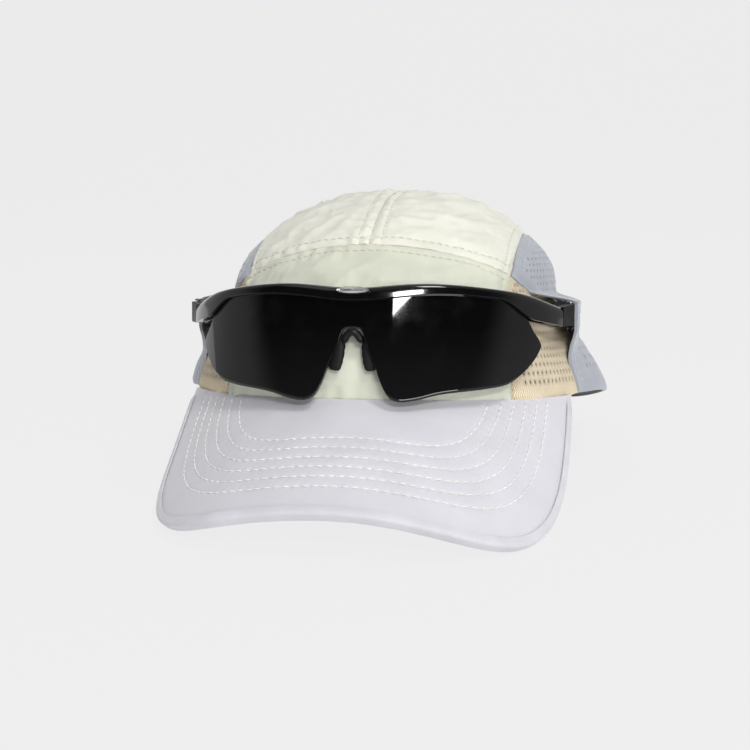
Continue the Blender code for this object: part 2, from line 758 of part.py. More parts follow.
def make_nose_bridge(parent):
    """Arched wire-like clip in the lens notch that carries the two pads."""
    path = []
    for angle in spread(-CLIP_ARC, CLIP_ARC, 13):
        x = CLIP_HALF * math.sin(rad(angle)) / math.sin(rad(CLIP_ARC))
        h = CLIP_TOP - CLIP_DROP * (1.0 - math.cos(rad(angle)))
        path.append(Vector((x, lerp(*CLIP_BEHIND, smooth(abs(angle) / CLIP_ARC)), h)))
    make_object("nose_bridge", tube(path, CLIP_RADIUS), ((0.012, 0.012, 0.013), 0.35), parent)


def make_nose_pads(parent):
    """Soft wings that splay downwards behind the notch."""
    for side, name in ((-1, "nose_pad_left"), (1, "nose_pad_right")):
        bm = bmesh.new()
        bmesh.ops.create_uvsphere(bm, u_segments=12, v_segments=8, radius=1.0)
        bmesh.ops.scale(bm, vec=PAD_SIZE, verts=bm.verts)
        splay = Matrix.Rotation(rad(-side * PAD_SPLAY), 4, "Y")
        turn = splay @ Matrix.Rotation(rad(side * PAD_TURN), 4, "Z")
        bmesh.ops.transform(bm, matrix=turn, verts=bm.verts)
        bmesh.ops.translate(bm, vec=(side * PAD_PLACE[0], *PAD_PLACE[1:]), verts=bm.verts)
        make_object(name, bm, ((0.02, 0.02, 0.021), 0.6), parent, 80.0)


# ================================================================ eyewear sides
def in_cap_frame(point):
    """A point of the eyewear front in the cap's frame."""
    turn = Matrix.Rotation(rad(EYE_PITCH), 3, "X")
    return turn @ point + Vector(EYE_PLACE)


def in_hinge_frame(point, side):
    """The same point as seen from a temple's hinge."""
    turn = Matrix.Rotation(rad(-TEMPLE_PITCH), 3, "X")
    return turn @ (in_cap_frame(point) - Vector((side * TEMPLE_X, HINGE_Y, HINGE_Z)))


def make_hinge_block(side, name, pivot):
    """End piece between the bar and the temple, forked for the temple's tongue."""
    end = BAR_END
    gap = 0.0004
    corners = [(BAR_FRONT, bar_top(end)), (BAR_FRONT, bar_bottom(end)), (BAR_BACK, bar_bottom(end)),
               (BAR_BACK, bar_top(end))]
    face = [in_hinge_frame(lens_point(side * (end + gap), h, out), side) for out, h in corners]

    def ring(y, inner_x, outer_x, half):
        return [Vector((side * outer_x, y, half)), Vector((side * outer_x, y, -half)),
                Vector((side * inner_x, y, -half)), Vector((side * inner_x, y, half))]

    sections = [face, ring(-0.0030, -0.0022, 0.0018, EAR_HALF), ring(0.0022, -0.0018, 0.0018, EAR_HALF)]
    block = make_object(name, loft(sections), ((0.012, 0.012, 0.013), 0.15), pivot, 25.0)
    slot = make_object(name + "_slot_cutter", prism([(-0.006, -0.0022), (0.006, -0.0022), (0.006, 0.006),
                                                     (-0.006, 0.006)], -SLOT_HALF, SLOT_HALF),
                       ((0.1, 0.1, 0.1), 0.5), pivot)
    cut(block, slot)
    bore = make_object(name + "_bore_cutter", lathe([(SCREW_BORE, -0.008), (SCREW_BORE, 0.008)]),
                       ((0.1, 0.1, 0.1), 0.5), pivot)
    cut(block, bore)


def make_hinge_screw(name, pivot):
    head = 0.0015
    profile = [(SCREW_RADIUS, -EAR_HALF), (SCREW_RADIUS, EAR_HALF + 0.0003), (head, EAR_HALF + 0.0003),
               (head, EAR_HALF + 0.0008), (head * 0.7, EAR_HALF + 0.0011)]
    make_object(name, lathe(profile), ((0.5, 0.5, 0.52), 0.3, 1.0), pivot)


def rounded_ring(y, middle_z, half_x, half_z, side_x=0.0):
    """Ring of eight points, a rectangle with cut corners, across the temple at y."""
    cx, cz = half_x * 0.55, half_z - half_x * 0.45
    xs = [cx, half_x, half_x, cx, -cx, -half_x, -half_x, -cx]
    zs = [half_z, cz, -cz, -half_z, -half_z, -cz, cz, half_z]
    return [Vector((side_x + x, y, middle_z + z)) for x, z in zip(xs, zs)]


def make_temple(name, pivot):
    """Arm of the eyewear; the tongue at its front turns on the hinge screw."""
    tongue = SLOT_HALF - 0.0003
    rings = [rounded_ring(-0.0017, 0.0, 0.0017, tongue), rounded_ring(0.0022, 0.0, 0.0017, tongue),
             rounded_ring(0.0026, 0.0, 0.0013, EAR_HALF), rounded_ring(0.0100, 0.0, 0.0013, 0.0041),
             rounded_ring(0.0220, -0.0002, 0.0013, 0.0038), rounded_ring(0.0380, -0.0004, 0.0013, 0.0031),
             rounded_ring(0.0560, -0.0006, 0.0013, 0.0030)]
    arm = make_object(name, loft(rings), ((0.012, 0.012, 0.013), 0.15), pivot)
    bore = make_object(name + "_bore_cutter", lathe([(SCREW_BORE, -0.008), (SCREW_BORE, 0.008)]),
                       ((0.1, 0.1, 0.1), 0.5), pivot)
    cut(arm, bore)


def make_temple_tip(name, pivot):
    """Rubber end of the arm, a little thicker and dropping at its end."""
    rings = [rounded_ring(0.0563, -0.0006, 0.0015, 0.0034), rounded_ring(0.0620, -0.0008, 0.0016, 0.0040),
             rounded_ring(0.0720, -0.0012, 0.0016, 0.0043), rounded_ring(0.0800, -0.0018, 0.0016, 0.0041),
             rounded_ring(0.0850, -0.0024, 0.0015, 0.0033), rounded_ring(0.0875, -0.0028, 0.0010, 0.0020)]
    make_object(name, loft(rings), ((0.02, 0.02, 0.02), 0.7), pivot)


def make_sides(parent):
    for side, tag in ((-1, "left"), (1, "right")):
        pivot = make_empty("hinge_" + tag, (side * TEMPLE_X, HINGE_Y, HINGE_Z), TEMPLE_PITCH, parent)
        make_hinge_block(side, "hinge_block_" + tag, pivot)
        make_hinge_screw("hinge_screw_" + tag, pivot)
        make_temple("temple_" + tag, pivot)
        make_temple_tip("temple_tip_" + tag, pivot)


# ================================================================ whole object
def clear_scene():
    for obj in list(bpy.data.objects):
        bpy.data.objects.remove(obj, do_unlink=True)


def make_cap(stance):
    make_front_panel(stance)
    make_crown_panels(stance)
    make_seam_tapes(stance)
    make_side_meshes(stance)
    make_side_panels(stance)
    make_sweatband(stance)
    make_brim(stance)
    make_brim_binding(stance)
    make_strap(stance)
    make_strap_tab(stance)
    make_buckle(stance)
    make_cam_lever(stance)


def make_eyewear(stance):
    front = make_empty("eyewear_front", EYE_PLACE, EYE_PITCH, stance)
    make_brow_frame(front)
    make_shield_lens(front)
    make_emblem(front)
    make_nose_bridge(front)
    make_nose_pads(front)
    make_sides(stance)


def main():
    clear_scene()
    stance = make_empty("cap_stance", (0.0, STANCE_SHIFT, STANCE_RISE), -STANCE_TILT, None)
    make_cap(stance)
    make_eyewear(stance)


main()
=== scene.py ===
"""Looks of a running cap with a curved brim and docked sports eyewear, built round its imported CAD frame.

Metres and degrees. Cloth is modelled in the cap's own frame, whose origin is the head's centre near the hem,
with the front towards -Y, and is then tipped the way the CAD stands on its brim corners and back hem.
"""

import math

import bmesh
import bpy
import numpy as np
from mathutils import Matrix, Vector, kdtree


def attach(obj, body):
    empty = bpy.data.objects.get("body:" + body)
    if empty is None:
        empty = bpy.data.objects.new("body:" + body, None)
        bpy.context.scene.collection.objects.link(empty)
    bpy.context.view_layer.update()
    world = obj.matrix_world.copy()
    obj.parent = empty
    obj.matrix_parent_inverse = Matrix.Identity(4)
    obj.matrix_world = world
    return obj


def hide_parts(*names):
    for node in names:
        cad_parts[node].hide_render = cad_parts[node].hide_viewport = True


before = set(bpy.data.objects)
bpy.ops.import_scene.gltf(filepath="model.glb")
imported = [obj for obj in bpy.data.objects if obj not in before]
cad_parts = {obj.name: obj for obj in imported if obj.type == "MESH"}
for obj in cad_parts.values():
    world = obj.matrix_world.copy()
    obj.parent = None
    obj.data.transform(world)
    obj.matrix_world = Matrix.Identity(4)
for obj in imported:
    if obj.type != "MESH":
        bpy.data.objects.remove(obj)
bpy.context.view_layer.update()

# ---- stance, as in the CAD
STANCE_TILT = 3.61
STANCE_RISE = 0.02492
STANCE_SHIFT = 0.01925

# ---- crown, as in the CAD
HALF_WIDTH = 0.0844
FRONT_REACH = 0.1000
BACK_REACH = 0.1076
CROWN_RISE = 0.0845
RISE_POWER = 0.89
CORNER_TRIM = 0.018
HEM_MEAN = -0.0042
HEM_SLOPE = 0.0158
HEM_ARCH = 0.0056
ARCH_MIDDLE = 84.0
ARCH_SPAN = 31.0
HEM_DROP = 0.0030          # the front hem goes on down behind the brim's root
HEM_FLARE = 0.0055
WAIST_PINCH = 0.0100
WAIST_T = 0.36
WAIST_SPAN = 0.22
CLOTH = 0.0009
MESH_CLOTH = 0.0005
SEAM_THETA = 39.85
ARCH_PSI = 46.0
OPENING_THETA = 23.0
OPENING_PSI = 24.0
MESH_REAR = 118.0
MESH_SINK = 0.0019          # deeper than in the CAD, as the outer panel's relief dips
FLAP_LIFT = 0.0014
OVERLAP = (50.0, 66.0)
FLAP_HEM = 64.5
FLAP_TOP = 50.2
CUTOUT_FROM = 0.72
POCKET_X = 0.0768
POCKET_HALF = 0.0046       # the soft panel lies closer to the temple than the faceted CAD can
POCKET_ABOVE = 0.0045
POCKET_BELOW = 0.020
POCKET_BACK = 0.040
POCKET_FADE = 0.035
SEAM_HOLD = 0.08
BAND_OFFSET = -0.0036
BAND_CLOTH = 0.0011
BAND_END = 140.0
BAND_TOP_T = 0.31
BAND_ROW_T = BAND_TOP_T - 0.035
BAND_PITCH = 0.0034
BAND_STITCH = 0.0025
TAPE_OFFSET = -0.0018
TAPE_CLOTH = 0.0004
TAPE_HALF = 5.0

# ---- brim, as in the CAD
BRIM_BEND = 0.0980
BRIM_SLOPE = 30.5
BRIM_HALF = 0.0855
BRIM_LENGTH = 0.0571
BRIM_SIDE = -0.0560
BRIM_SIDE_POWER = 4.8
BRIM_FRONT_POWER = 3.6
BRIM_ORIGIN_Z = 0.0116
COVER = 0.0005
BOARD = 0.0012
PLY_GAP = 0.0003
BIND_WALL = 0.0005
BIND_WIDTH = 0.0034
HEM_GAP = 0.0005
ROOT_BELOW = 0.0003
ROOT_REACH = 0.045
CORNER_LIFT = 0.0030       # the soft brim stands with its left corner a little up

# ---- strap, as in the CAD
STRAP_MID_Z = -0.0078
STRAP_HALF = 0.0070
WEB = 0.0012
STRAP_INSET = 0.0036
STRAP_FLAT_Y = 0.1050
TAB_WEB = 0.0010
TAB_BAR = (0.0115, 0.1094)
BAR_RADIUS = 0.0012

# ---- eyewear, as in the CAD
EYE_PLACE = (0.0, -0.0995, 0.0470)
EYE_PITCH = -14.25
LENS_RADIUS = 0.0783
LENS_THICK = 0.0018
LENS_GAP = 0.0004
LENS_HALF = 0.0746
LENS_MIDDLE = -0.0185
BAR_END = 0.0860
BAR_FRONT = 0.0016
BAR_BACK = -0.0040
BAR_ROUND = 0.62
HINGE_Y = -0.0490
HINGE_Z = 0.0370
TEMPLE_PITCH = -4.3

# ---- sewing
SEAM_GAP = 0.07            # degrees left open at each side of a crown seam
TOPSTITCH = 0.0045         # rows beside the seams
STITCH_PITCH = 0.0029
STITCH_LENGTH = 0.0022
THREAD = 0.00021
CALM = 0.006               # cloth lies flatter this near its seams and rows
ARCH_GIRTH = 0.094         # radii that turn a gap beside a seam into degrees
SIDE_GIRTH = 0.088
CENTRE_GIRTH = 0.086
ROLL = 0.0007              # cloth turns in at its edges
ROLL_WIDTH = 0.0011
DIP = 0.00032              # the thread draws the cloth in
DIP_WIDTH = 0.0008
BRIM_ROWS = [0.0130 + 0.0047 * k for k in range(6)]
BRIM_PITCH = 0.0033
BRIM_STITCH = 0.0026
BRIM_THREAD = 0.00026
BRIM_INSET = BIND_WALL + PLY_GAP     # of the plies inside the binding


SIDES = ((-1, "left"), (1, "right"))


# ==== number helpers
def rad(degrees):
    return np.radians(degrees)


def unit(v):
    return v / np.maximum(np.linalg.norm(v, axis=-1, keepdims=True), 1e-12)


def smooth(x):
    x = np.clip(x, 0.0, 1.0)
    return x * x * (3.0 - 2.0 * x)


def lerp(a, b, f):
    return a + (b - a) * f


def bell(x, width):
    return np.exp(-((x / width) ** 2))


def rounder(x, power):
    """The size of x raised to a power, with the sign of x."""
    return np.copysign(np.abs(x) ** power, x)


def circle(count):
    """Evenly spaced angles round a full turn."""
    return np.linspace(0.0, 2.0 * np.pi, count + 1)[:-1]


def xyz(x, y, z):
    return np.stack(np.broadcast_arrays(x, y, z), axis=-1).astype(float)


def noise(points, size, seed):
    """Smooth noise from -1 to 1; size is the width of its lumps in metres, one number or one per axis."""
    q = np.asarray(points, float) / size + 31.7 * seed
    cell = np.floor(q).astype(np.int64)
    part = smooth(q - cell)
    total = np.zeros(q.shape[:-1])
    for corner in np.ndindex(2, 2, 2):
        c = cell + np.array(corner)
        mixed = (c[..., 0] * 73856093) ^ (c[..., 1] * 19349663) ^ (c[..., 2] * 83492791)
        mixed = (mixed ^ (mixed >> 13)) * 1274126177
        value = ((mixed >> 7) & 0xFFFF) / 32767.5 - 1.0
        total += value * np.prod(np.where(corner, part, 1.0 - part), axis=-1)
    return total


def crease(points, size, seed):
    """Noise with narrow ridges, from 0 to 1, as crumpled nylon has."""
    warp = noise(points, size * 1.7, seed + 5)[..., None] * size * 0.5
    return (1.0 - np.abs(noise(points + warp, size, seed))) ** 3


def graded(start, end, length, fine=0.0005, coarse=0.0012, band=0.0075):
    """Stations from start to end, over the given length in metres, close together near both ends."""
    band = min(band, length * 0.3)
    edge = np.arange(0.0, band, fine)
    middle = np.linspace(band, length - band, max(2, int((length - 2.0 * band) / coarse)))
    places = np.concatenate([edge, middle, (length - edge)[::-1]])
    return lerp(start, end, places / length)


def arcs(line):
    return np.concatenate([[0.0], np.cumsum(np.linalg.norm(np.diff(line, axis=0), axis=1))])


def read_off(places, along, line):
    """Points of a polyline at some places, given how far along it each of its own points is."""
    return np.stack([np.interp(places, along, column) for column in line.T], axis=1)


def resample(line, step):
    """The polyline again, with points a fixed step apart."""
    along = arcs(line)
    return read_off(np.linspace(0.0, along[-1], max(2, int(along[-1] / step) + 1)), along, line)


def nearest(points, line):
    """Distance from each point to a polyline, and how far along the line the nearest place is."""
    step = 0.0005
    line = resample(line, step)
    tree = kdtree.KDTree(len(line))
    for k, place in enumerate(line):
        tree.insert(place, k)
    tree.balance()
    found = np.array([tree.find(p)[1:] for p in points.reshape(-1, 3)])
    return found[:, 1].reshape(points.shape[:-1]), found[:, 0].reshape(points.shape[:-1]) * step


def curve_through(points, samples):
    """Smooth curve through a few points, each a row of numbers."""
    points = np.array(points, float)
    padded = np.vstack([2.0 * points[0] - points[1], points, 2.0 * points[-1] - points[-2]])
    out = []
    for k in range(len(points) - 1):
        p0, p1, p2, p3 = padded[k:k + 4]
        for f in np.linspace(0.0, 1.0, samples, endpoint=False):
            out.append(0.5 * (2.0 * p1 + (p2 - p0) * f + (2.0 * p0 - 5.0 * p1 + 4.0 * p2 - p3) * f * f
                              + (3.0 * p1 - p0 - 3.0 * p2 + p3) * f ** 3))
    out.append(points[-1])
    return np.array(out)


# ==== frames
STANCE = Matrix.Translation((0.0, STANCE_SHIFT, STANCE_RISE)) @ Matrix.Rotation(-rad(STANCE_TILT), 4, "X")
EYE = STANCE @ Matrix.Translation(EYE_PLACE) @ Matrix.Rotation(rad(EYE_PITCH), 4, "X")


def moved(points, matrix=STANCE):
    matrix = np.array(matrix)
    return points @ matrix[:3, :3].T + matrix[:3, 3]


# ==== mesh builders
def in_scene(name, data):
    obj = bpy.data.objects.new(name, data)
    bpy.context.scene.collection.objects.link(obj)
    return obj


def add_mesh(name, points, faces, looks, cloth=None, wear_and_shade=None, face_looks=None, sharp=50.0, matrix=STANCE):
    """One clean mesh object in the row frame. cloth is each point's place on the flat cloth, in metres."""
    mesh = bpy.data.meshes.new(name)
    mesh.from_pydata(moved(points, matrix).tolist(), [], faces)
    if cloth is not None:
        layer = mesh.attributes.new("cloth", "FLOAT_VECTOR", "POINT")
        layer.data.foreach_set("vector", np.column_stack([cloth, np.zeros(len(cloth))]).ravel())
    if wear_and_shade is not None:
        mesh.attributes.new("wear_and_shade", "FLOAT", "POINT").data.foreach_set("value", wear_and_shade)
    for look in looks:
        mesh.materials.append(look)
    if face_looks is not None:
        mesh.polygons.foreach_set("material_index", face_looks)
    bm = bmesh.new()
    bm.from_mesh(mesh)
    bmesh.ops.delete(bm, geom=[v for v in bm.verts if not v.link_faces], context="VERTS")
    bmesh.ops.remove_doubles(bm, verts=bm.verts, dist=2e-6)
    bmesh.ops.dissolve_degenerate(bm, edges=bm.edges, dist=1e-7)
    bmesh.ops.recalc_face_normals(bm, faces=bm.faces)
    bm.to_mesh(mesh)
    bm.free()
    mesh.shade_smooth()
    mesh.set_sharp_from_angle(angle=rad(sharp))
    return in_scene(name, mesh)


def cloth_places(grid):
    """Flat place of each point of a grid: arc lengths from the middle row and the middle column."""
    rows = np.linalg.norm(np.diff(grid, axis=0), axis=-1)
    columns = np.linalg.norm(np.diff(grid, axis=1), axis=-1)
    u = np.pad(np.cumsum(rows, axis=0), ((1, 0), (0, 0)))
    v = np.pad(np.cumsum(columns, axis=1), ((0, 0), (1, 0)))
    u -= u[len(u) // 2]
    v -= v[:, v.shape[1] // 2][:, None]
    return np.stack([u, v], axis=-1)


def shell(name, outer, inner, looks, keep=None, cloth=None, wear_and_shade=None, **rest):
    """Closed sheet from two grids of points; keep says which quads stay, so cloth can have real holes."""
    n, m = outer.shape[:2]
    index = np.arange(n * m).reshape(n, m)
    keep = np.ones((n - 1, m - 1), bool) if keep is None else keep
    a, b, c, d = index[:-1, :-1], index[1:, :-1], index[1:, 1:], index[:-1, 1:]
    top = np.stack([a, b, c, d], axis=-1)[keep]
    low = top[:, ::-1] + n * m
    around = np.pad(keep, 1)
    sides = [(a, b, around[1:-1, :-2]), (c, d, around[1:-1, 2:]),
             (b, c, around[2:, 1:-1]), (d, a, around[:-2, 1:-1])]
    walls = []
    for p, q, neighbour in sides:
        edge = keep & ~neighbour
        p, q = p[edge], q[edge]
        walls.append(np.stack([q, p, p + n * m, q + n * m], axis=-1))
    faces = np.concatenate([top, low] + walls)
    face_looks = np.zeros(len(faces), np.int32)
    # The inner faces take the second look, a darker tone that paints the shade inside the cap.
    if len(looks) > 1:
        face_looks[len(top):2 * len(top)] = 1
    cloth = cloth_places(outer) if cloth is None else cloth
    points = np.concatenate([outer.reshape(-1, 3), inner.reshape(-1, 3)])
    cloth = np.tile(cloth.reshape(-1, 2), (2, 1))
    wear_and_shade = np.zeros(len(points)) if wear_and_shade is None else np.tile(wear_and_shade.ravel(), 2)
    return add_mesh(name, points, faces.tolist(), looks, cloth, wear_and_shade, face_looks, **rest)


def loft(rings):
    """Points and faces of one closed body through closed rings of equal count."""
    n, m = rings.shape[:2]
    index = np.arange(n * m).reshape(n, m)
    turned = np.roll(index, -1, axis=1)
    quads = np.stack([index[:-1], turned[:-1], turned[1:], index[1:]], axis=-1).reshape(-1, 4)
    return rings.reshape(-1, 3), quads.tolist() + [index[0].tolist(), index[-1][::-1].tolist()]


def lofted(name, rings, looks, **rest):
    points, faces = loft(rings)
    n, m = rings.shape[:2]
    around = np.tile(np.arange(m) / m, n) * 0.01
    along = np.repeat(arcs(rings.mean(axis=1)), m)
    return add_mesh(name, points, faces, looks, np.column_stack([along, around]), **rest)


def joined(bodies):
    """Points and faces of several bodies as one."""
    points, faces, offset = [], [], 0
    for body, quads in bodies:
        points.append(body)
        faces += [[v + offset for v in quad] for quad in quads]
        offset += len(body)
    return np.concatenate(points), faces


def stitch_bodies(line, normals, pitch, length, radius, seed):
    """Points and faces of short rounded stitches along a line that lies on cloth."""
    along = arcs(line)
    count = max(1, int(along[-1] / pitch))
    random = np.random.default_rng(seed)
    start = (along[-1] - count * pitch) / 2.0 + (np.arange(count) + 0.5) * pitch - length / 2.0
    start = start + random.uniform(-0.04, 0.04, count) * pitch
    shares = np.array([0.0, 0.14, 0.5, 0.86, 1.0])
    girth = np.array([0.30, 0.85, 1.0, 0.85, 0.30]) * radius
    lift = np.array([-0.9, 0.25, 0.75, 0.25, -0.9]) * radius
    places = (start[:, None] + shares * length).ravel()
    centre = read_off(places, along, line).reshape(count, 5, 3)
    up = unit(read_off(places, along, normals)).reshape(count, 5, 3)
    forward = unit(centre[:, -1:] - centre[:, :1]) + np.zeros_like(centre)
    side = unit(np.cross(up, forward))
    angles = circle(6)
    rings = centre[:, :, None] + up[:, :, None] * lift[None, :, None, None]
    rings = rings + (side[:, :, None] * np.cos(angles)[:, None] + up[:, :, None] * np.sin(angles)[:, None]) \
        * girth[None, :, None, None]
    return joined(map(loft, rings))


def sew(name, rows, look, slot, radius=THREAD):
    """One object with all the stitches of some rows: (line, normals, pitch, stitch length)."""
    points, faces = joined(stitch_bodies(*row, radius, k) for k, row in enumerate(rows))
    stitches = add_mesh(name + "_stitches", points, faces, [look], points[:, :2], sharp=80.0)
    return place(stitches, slot=slot)


def place(obj, body="cap", stands_for=(), slot=None):
    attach(obj, body)
    if stands_for:
        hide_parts(*stands_for)
    return obj


def lay(piece, node, slot, flat, held="stretched", rests_on=(), with_pieces=(), **area):
    """Puts a sheet of cloth in its CAD node's stead."""
    place(piece, stands_for=[node], slot=slot)


def soften(obj, width, segments, angle=35.0):
    """Rounds the hard edges of a moulded piece without touching its mesh."""
    weld = obj.modifiers.new("weld", "WELD")
    weld.merge_threshold = 1e-6
    bevel = obj.modifiers.new("soft_edges", "BEVEL")
    bevel.width = width
    bevel.segments = segments
    bevel.limit_method = "ANGLE"
    bevel.angle_limit = rad(angle)
    bevel.harden_normals = True
    return obj


# ==== crown surface
def crown(d):
    """Outer skin of the crown along unit directions."""
    t = np.clip(d[..., 2], 0.0, 1.0)
    rho = np.sqrt(1.0 - t * t)
    alpha = np.arctan2(np.abs(d[..., 0]), -d[..., 1])
    front = alpha < np.pi / 2.0
    trim = np.where(front, 1.0 - CORNER_TRIM * np.sin(2.0 * alpha) ** 2, 1.0)
    flare = HEM_FLARE * (1.0 - t) ** 6
    pinch = WAIST_PINCH * bell(t - WAIST_T, WAIST_SPAN)
    x = HALF_WIDTH * trim * rho * np.sin(alpha) + np.sin(alpha) ** 4 * (flare - pinch)
    y = -np.where(front, FRONT_REACH, BACK_REACH) * trim * rho * np.cos(alpha)
    hem = HEM_MEAN + HEM_SLOPE * np.cos(alpha) + HEM_ARCH * bell(np.degrees(alpha) - ARCH_MIDDLE, ARCH_SPAN)
    z = hem * (1.0 - t) ** 1.5 + CROWN_RISE * t ** RISE_POWER
    return xyz(np.copysign(x, d[..., 0]), y, z)


def crown_normal(d):
    step = 1e-3
    first = unit(np.cross(d, np.array([0.3, 0.2, 1.0])))
    second = unit(np.cross(first, d))
    second = np.where(second[..., 2:] < 0.0, -second, second)
    first = np.where((d[..., 2:] + first[..., 2:] * step) < 0.0, -first, first)
    here = crown(d)
    normal = unit(np.cross(crown(unit(d + first * step)) - here, crown(unit(d + second * step)) - here))
    outward = (normal * (here - np.array([0.0, 0.0, 0.02]))).sum(axis=-1, keepdims=True)
    return np.where(outward > 0.0, normal, -normal)


def by_gore(theta, psi):
    theta, psi = rad(theta), rad(psi)
    return xyz(np.sin(theta), -np.cos(theta) * np.cos(psi), np.cos(theta) * np.sin(psi))


def by_azimuth(alpha, t):
    rho = np.sqrt(np.maximum(0.0, 1.0 - t * t))
    alpha = rad(alpha)
    return xyz(np.sin(alpha) * rho, -np.cos(alpha) * rho, t)


def on_crown(d, offset=0.0):
    offset = np.asarray(offset, float)
    return crown(d) + crown_normal(d) * (offset[..., None] if offset.ndim else offset)


def back_limit(theta):
    """The crown panels reach the back hem except over the arched opening."""
    inside = np.clip(np.abs(theta) / OPENING_THETA, 0.0, 1.0)
    return 180.0 - OPENING_PSI * np.sqrt(1.0 - inside ** 2)


# ==== cloth relief
TURNED = np.array(Matrix.Rotation(0.9, 3, "Z") @ Matrix.Rotation(0.6, 3, "X"))


def wrinkles(points, seed, broad, sharp):
    """Soft hollows and narrow creases of light nylon."""
    lumps = noise(points, 0.022, seed) + 0.7 * noise(points, 0.010, seed + 1)
    folds = crease(points, np.array([0.034, 0.013, 0.010]), seed + 2) - 0.25
    bent = crease(points @ TURNED, np.array([0.028, 0.010, 0.013]), seed + 9) - 0.25
    fine = crease(points, 0.0065, seed + 3) - 0.25
    return broad * lumps + sharp * folds + 0.8 * sharp * bent + 0.5 * sharp * fine


def cloth_height(points, seed, borders, rows, broad=0.0008, sharp=0.0014, pucker=0.00032):
    """Height of a sewn panel over its smooth shape."""
    height = wrinkles(points, seed, broad, sharp)
    lines = [(line, ROLL, ROLL_WIDTH, 0.10) for line in borders]
    lines += [(line, DIP, DIP_WIDTH, 0.40) for line in rows]
    calm = np.ones(height.shape)
    dents = np.zeros(height.shape)
    for line, depth, width, rest in lines:
        far, along = nearest(points, line)
        calm = np.minimum(calm, rest + (1.0 - rest) * smooth(far / CALM))
        swing = np.sin(along / 0.0011 + 2.2 * noise(points, 0.006, seed + 7))
        swing *= smooth(0.5 + noise(points, 0.014, seed + 8))
        dents += pucker * bell(far, 0.0045) * smooth(far / 0.0015) * swing - depth * bell(far, width)
    return height * calm + dents


def sewn_rows(name, rows, relief, look, slot):
    """Stitches along rows of (line, normals), lying on the cloth's relief."""
    lines = []
    for line, up in rows:
        lines.append((line + up * (relief(line) + THREAD * 0.3)[:, None], up, STITCH_PITCH, STITCH_LENGTH))
    return sew(name, lines, look, slot)


def sewn_panel(node, directions, look, seed, borders, rows, slot, wrinkled=(), **cut):
    """A panel of the crown; its borders and its stitch rows are lines of directions."""
    borders = [crown(line) for line in borders]
    rows = [crown_line(line) for line in rows]

    def relief(points):
        return cloth_height(points, seed, borders, [line for line, _ in rows], *wrinkled)

    base, normals = crown_line(directions)
    outer = hem_drop(base + normals * relief(base)[..., None], directions)
    # The inner faces take a darker look that paints the shade inside the crown.
    panel = shell(node + "_cloth", outer, outer - normals * CLOTH, [look, pale_inside_painted_shade])
    lay(panel, node, slot, with_pieces=[sewn_rows(node + "_cloth", rows, relief, ivory_thread, slot)], **cut)


def hem_drop(points, d):
    """Points near the hem let down, so that cloth goes on behind the brim's root."""
    low = smooth(1.0 - d[..., 2] / 0.05) ** 2
    front = 1.0 - overlap(d)
    return points - np.array([0.0, 0.0, 1.0]) * (HEM_DROP * low * front)[..., None]


def crown_line(directions):
    """Points on the crown and the crown's normals there."""
    return crown(directions), crown_normal(directions)


def arch_row(gap):
    """Row beside the front panel's top seam; gap is positive towards the back."""
    theta = np.linspace(-SEAM_THETA + 0.6, SEAM_THETA - 0.6, 260)
    psi = ARCH_PSI + np.degrees(gap / (ARCH_GIRTH * np.cos(rad(theta))))
    return by_gore(theta, psi)


def side_row(side, gap, start, end):
    """Row beside a side seam; gap is positive towards the middle of the crown."""
    return by_gore(side * (SEAM_THETA - np.degrees(gap / SIDE_GIRTH)), np.linspace(start, end, 400))


def centre_row(gap, start, end):
    return by_gore(np.degrees(gap / CENTRE_GIRTH), np.linspace(start, end, 400))


# ==== materials
def set_inputs(tree, node, inputs):
    """Links or sets a node's inputs, each given by its name or number."""
    for key, value in inputs.items():
        if isinstance(value, bpy.types.NodeSocket):
            tree.links.new(value, node.inputs[key])
        else:
            node.inputs[key].default_value = value


class Nodes:
    """A short way to write a node tree."""

    def __init__(self, tree):
        self.tree = tree

    def node(self, kind, inputs=None, **settings):
        made = self.tree.nodes.new(kind)
        for key, value in settings.items():
            setattr(made, key, value)
        set_inputs(self.tree, made, inputs or {})
        return made

    def math(self, operation, first, second=0.0):
        return self.node("ShaderNodeMath", {0: first, 1: second}, operation=operation).outputs[0]

    def times(self, first, second):
        return self.math("MULTIPLY", first, second)

    def plus(self, first, second):
        return self.math("ADD", first, second)

    def mixed(self, factor, first, second):
        return self.node("ShaderNodeMix", {0: factor, 6: first, 7: second}, data_type="RGBA").outputs[2]

    def ramp(self, value, low, high, **settings):
        """The value stretched so that low becomes 0 and high becomes 1."""
        return self.node("ShaderNodeMapRange", {0: value, 1: low, 2: high}, **settings).outputs[0]


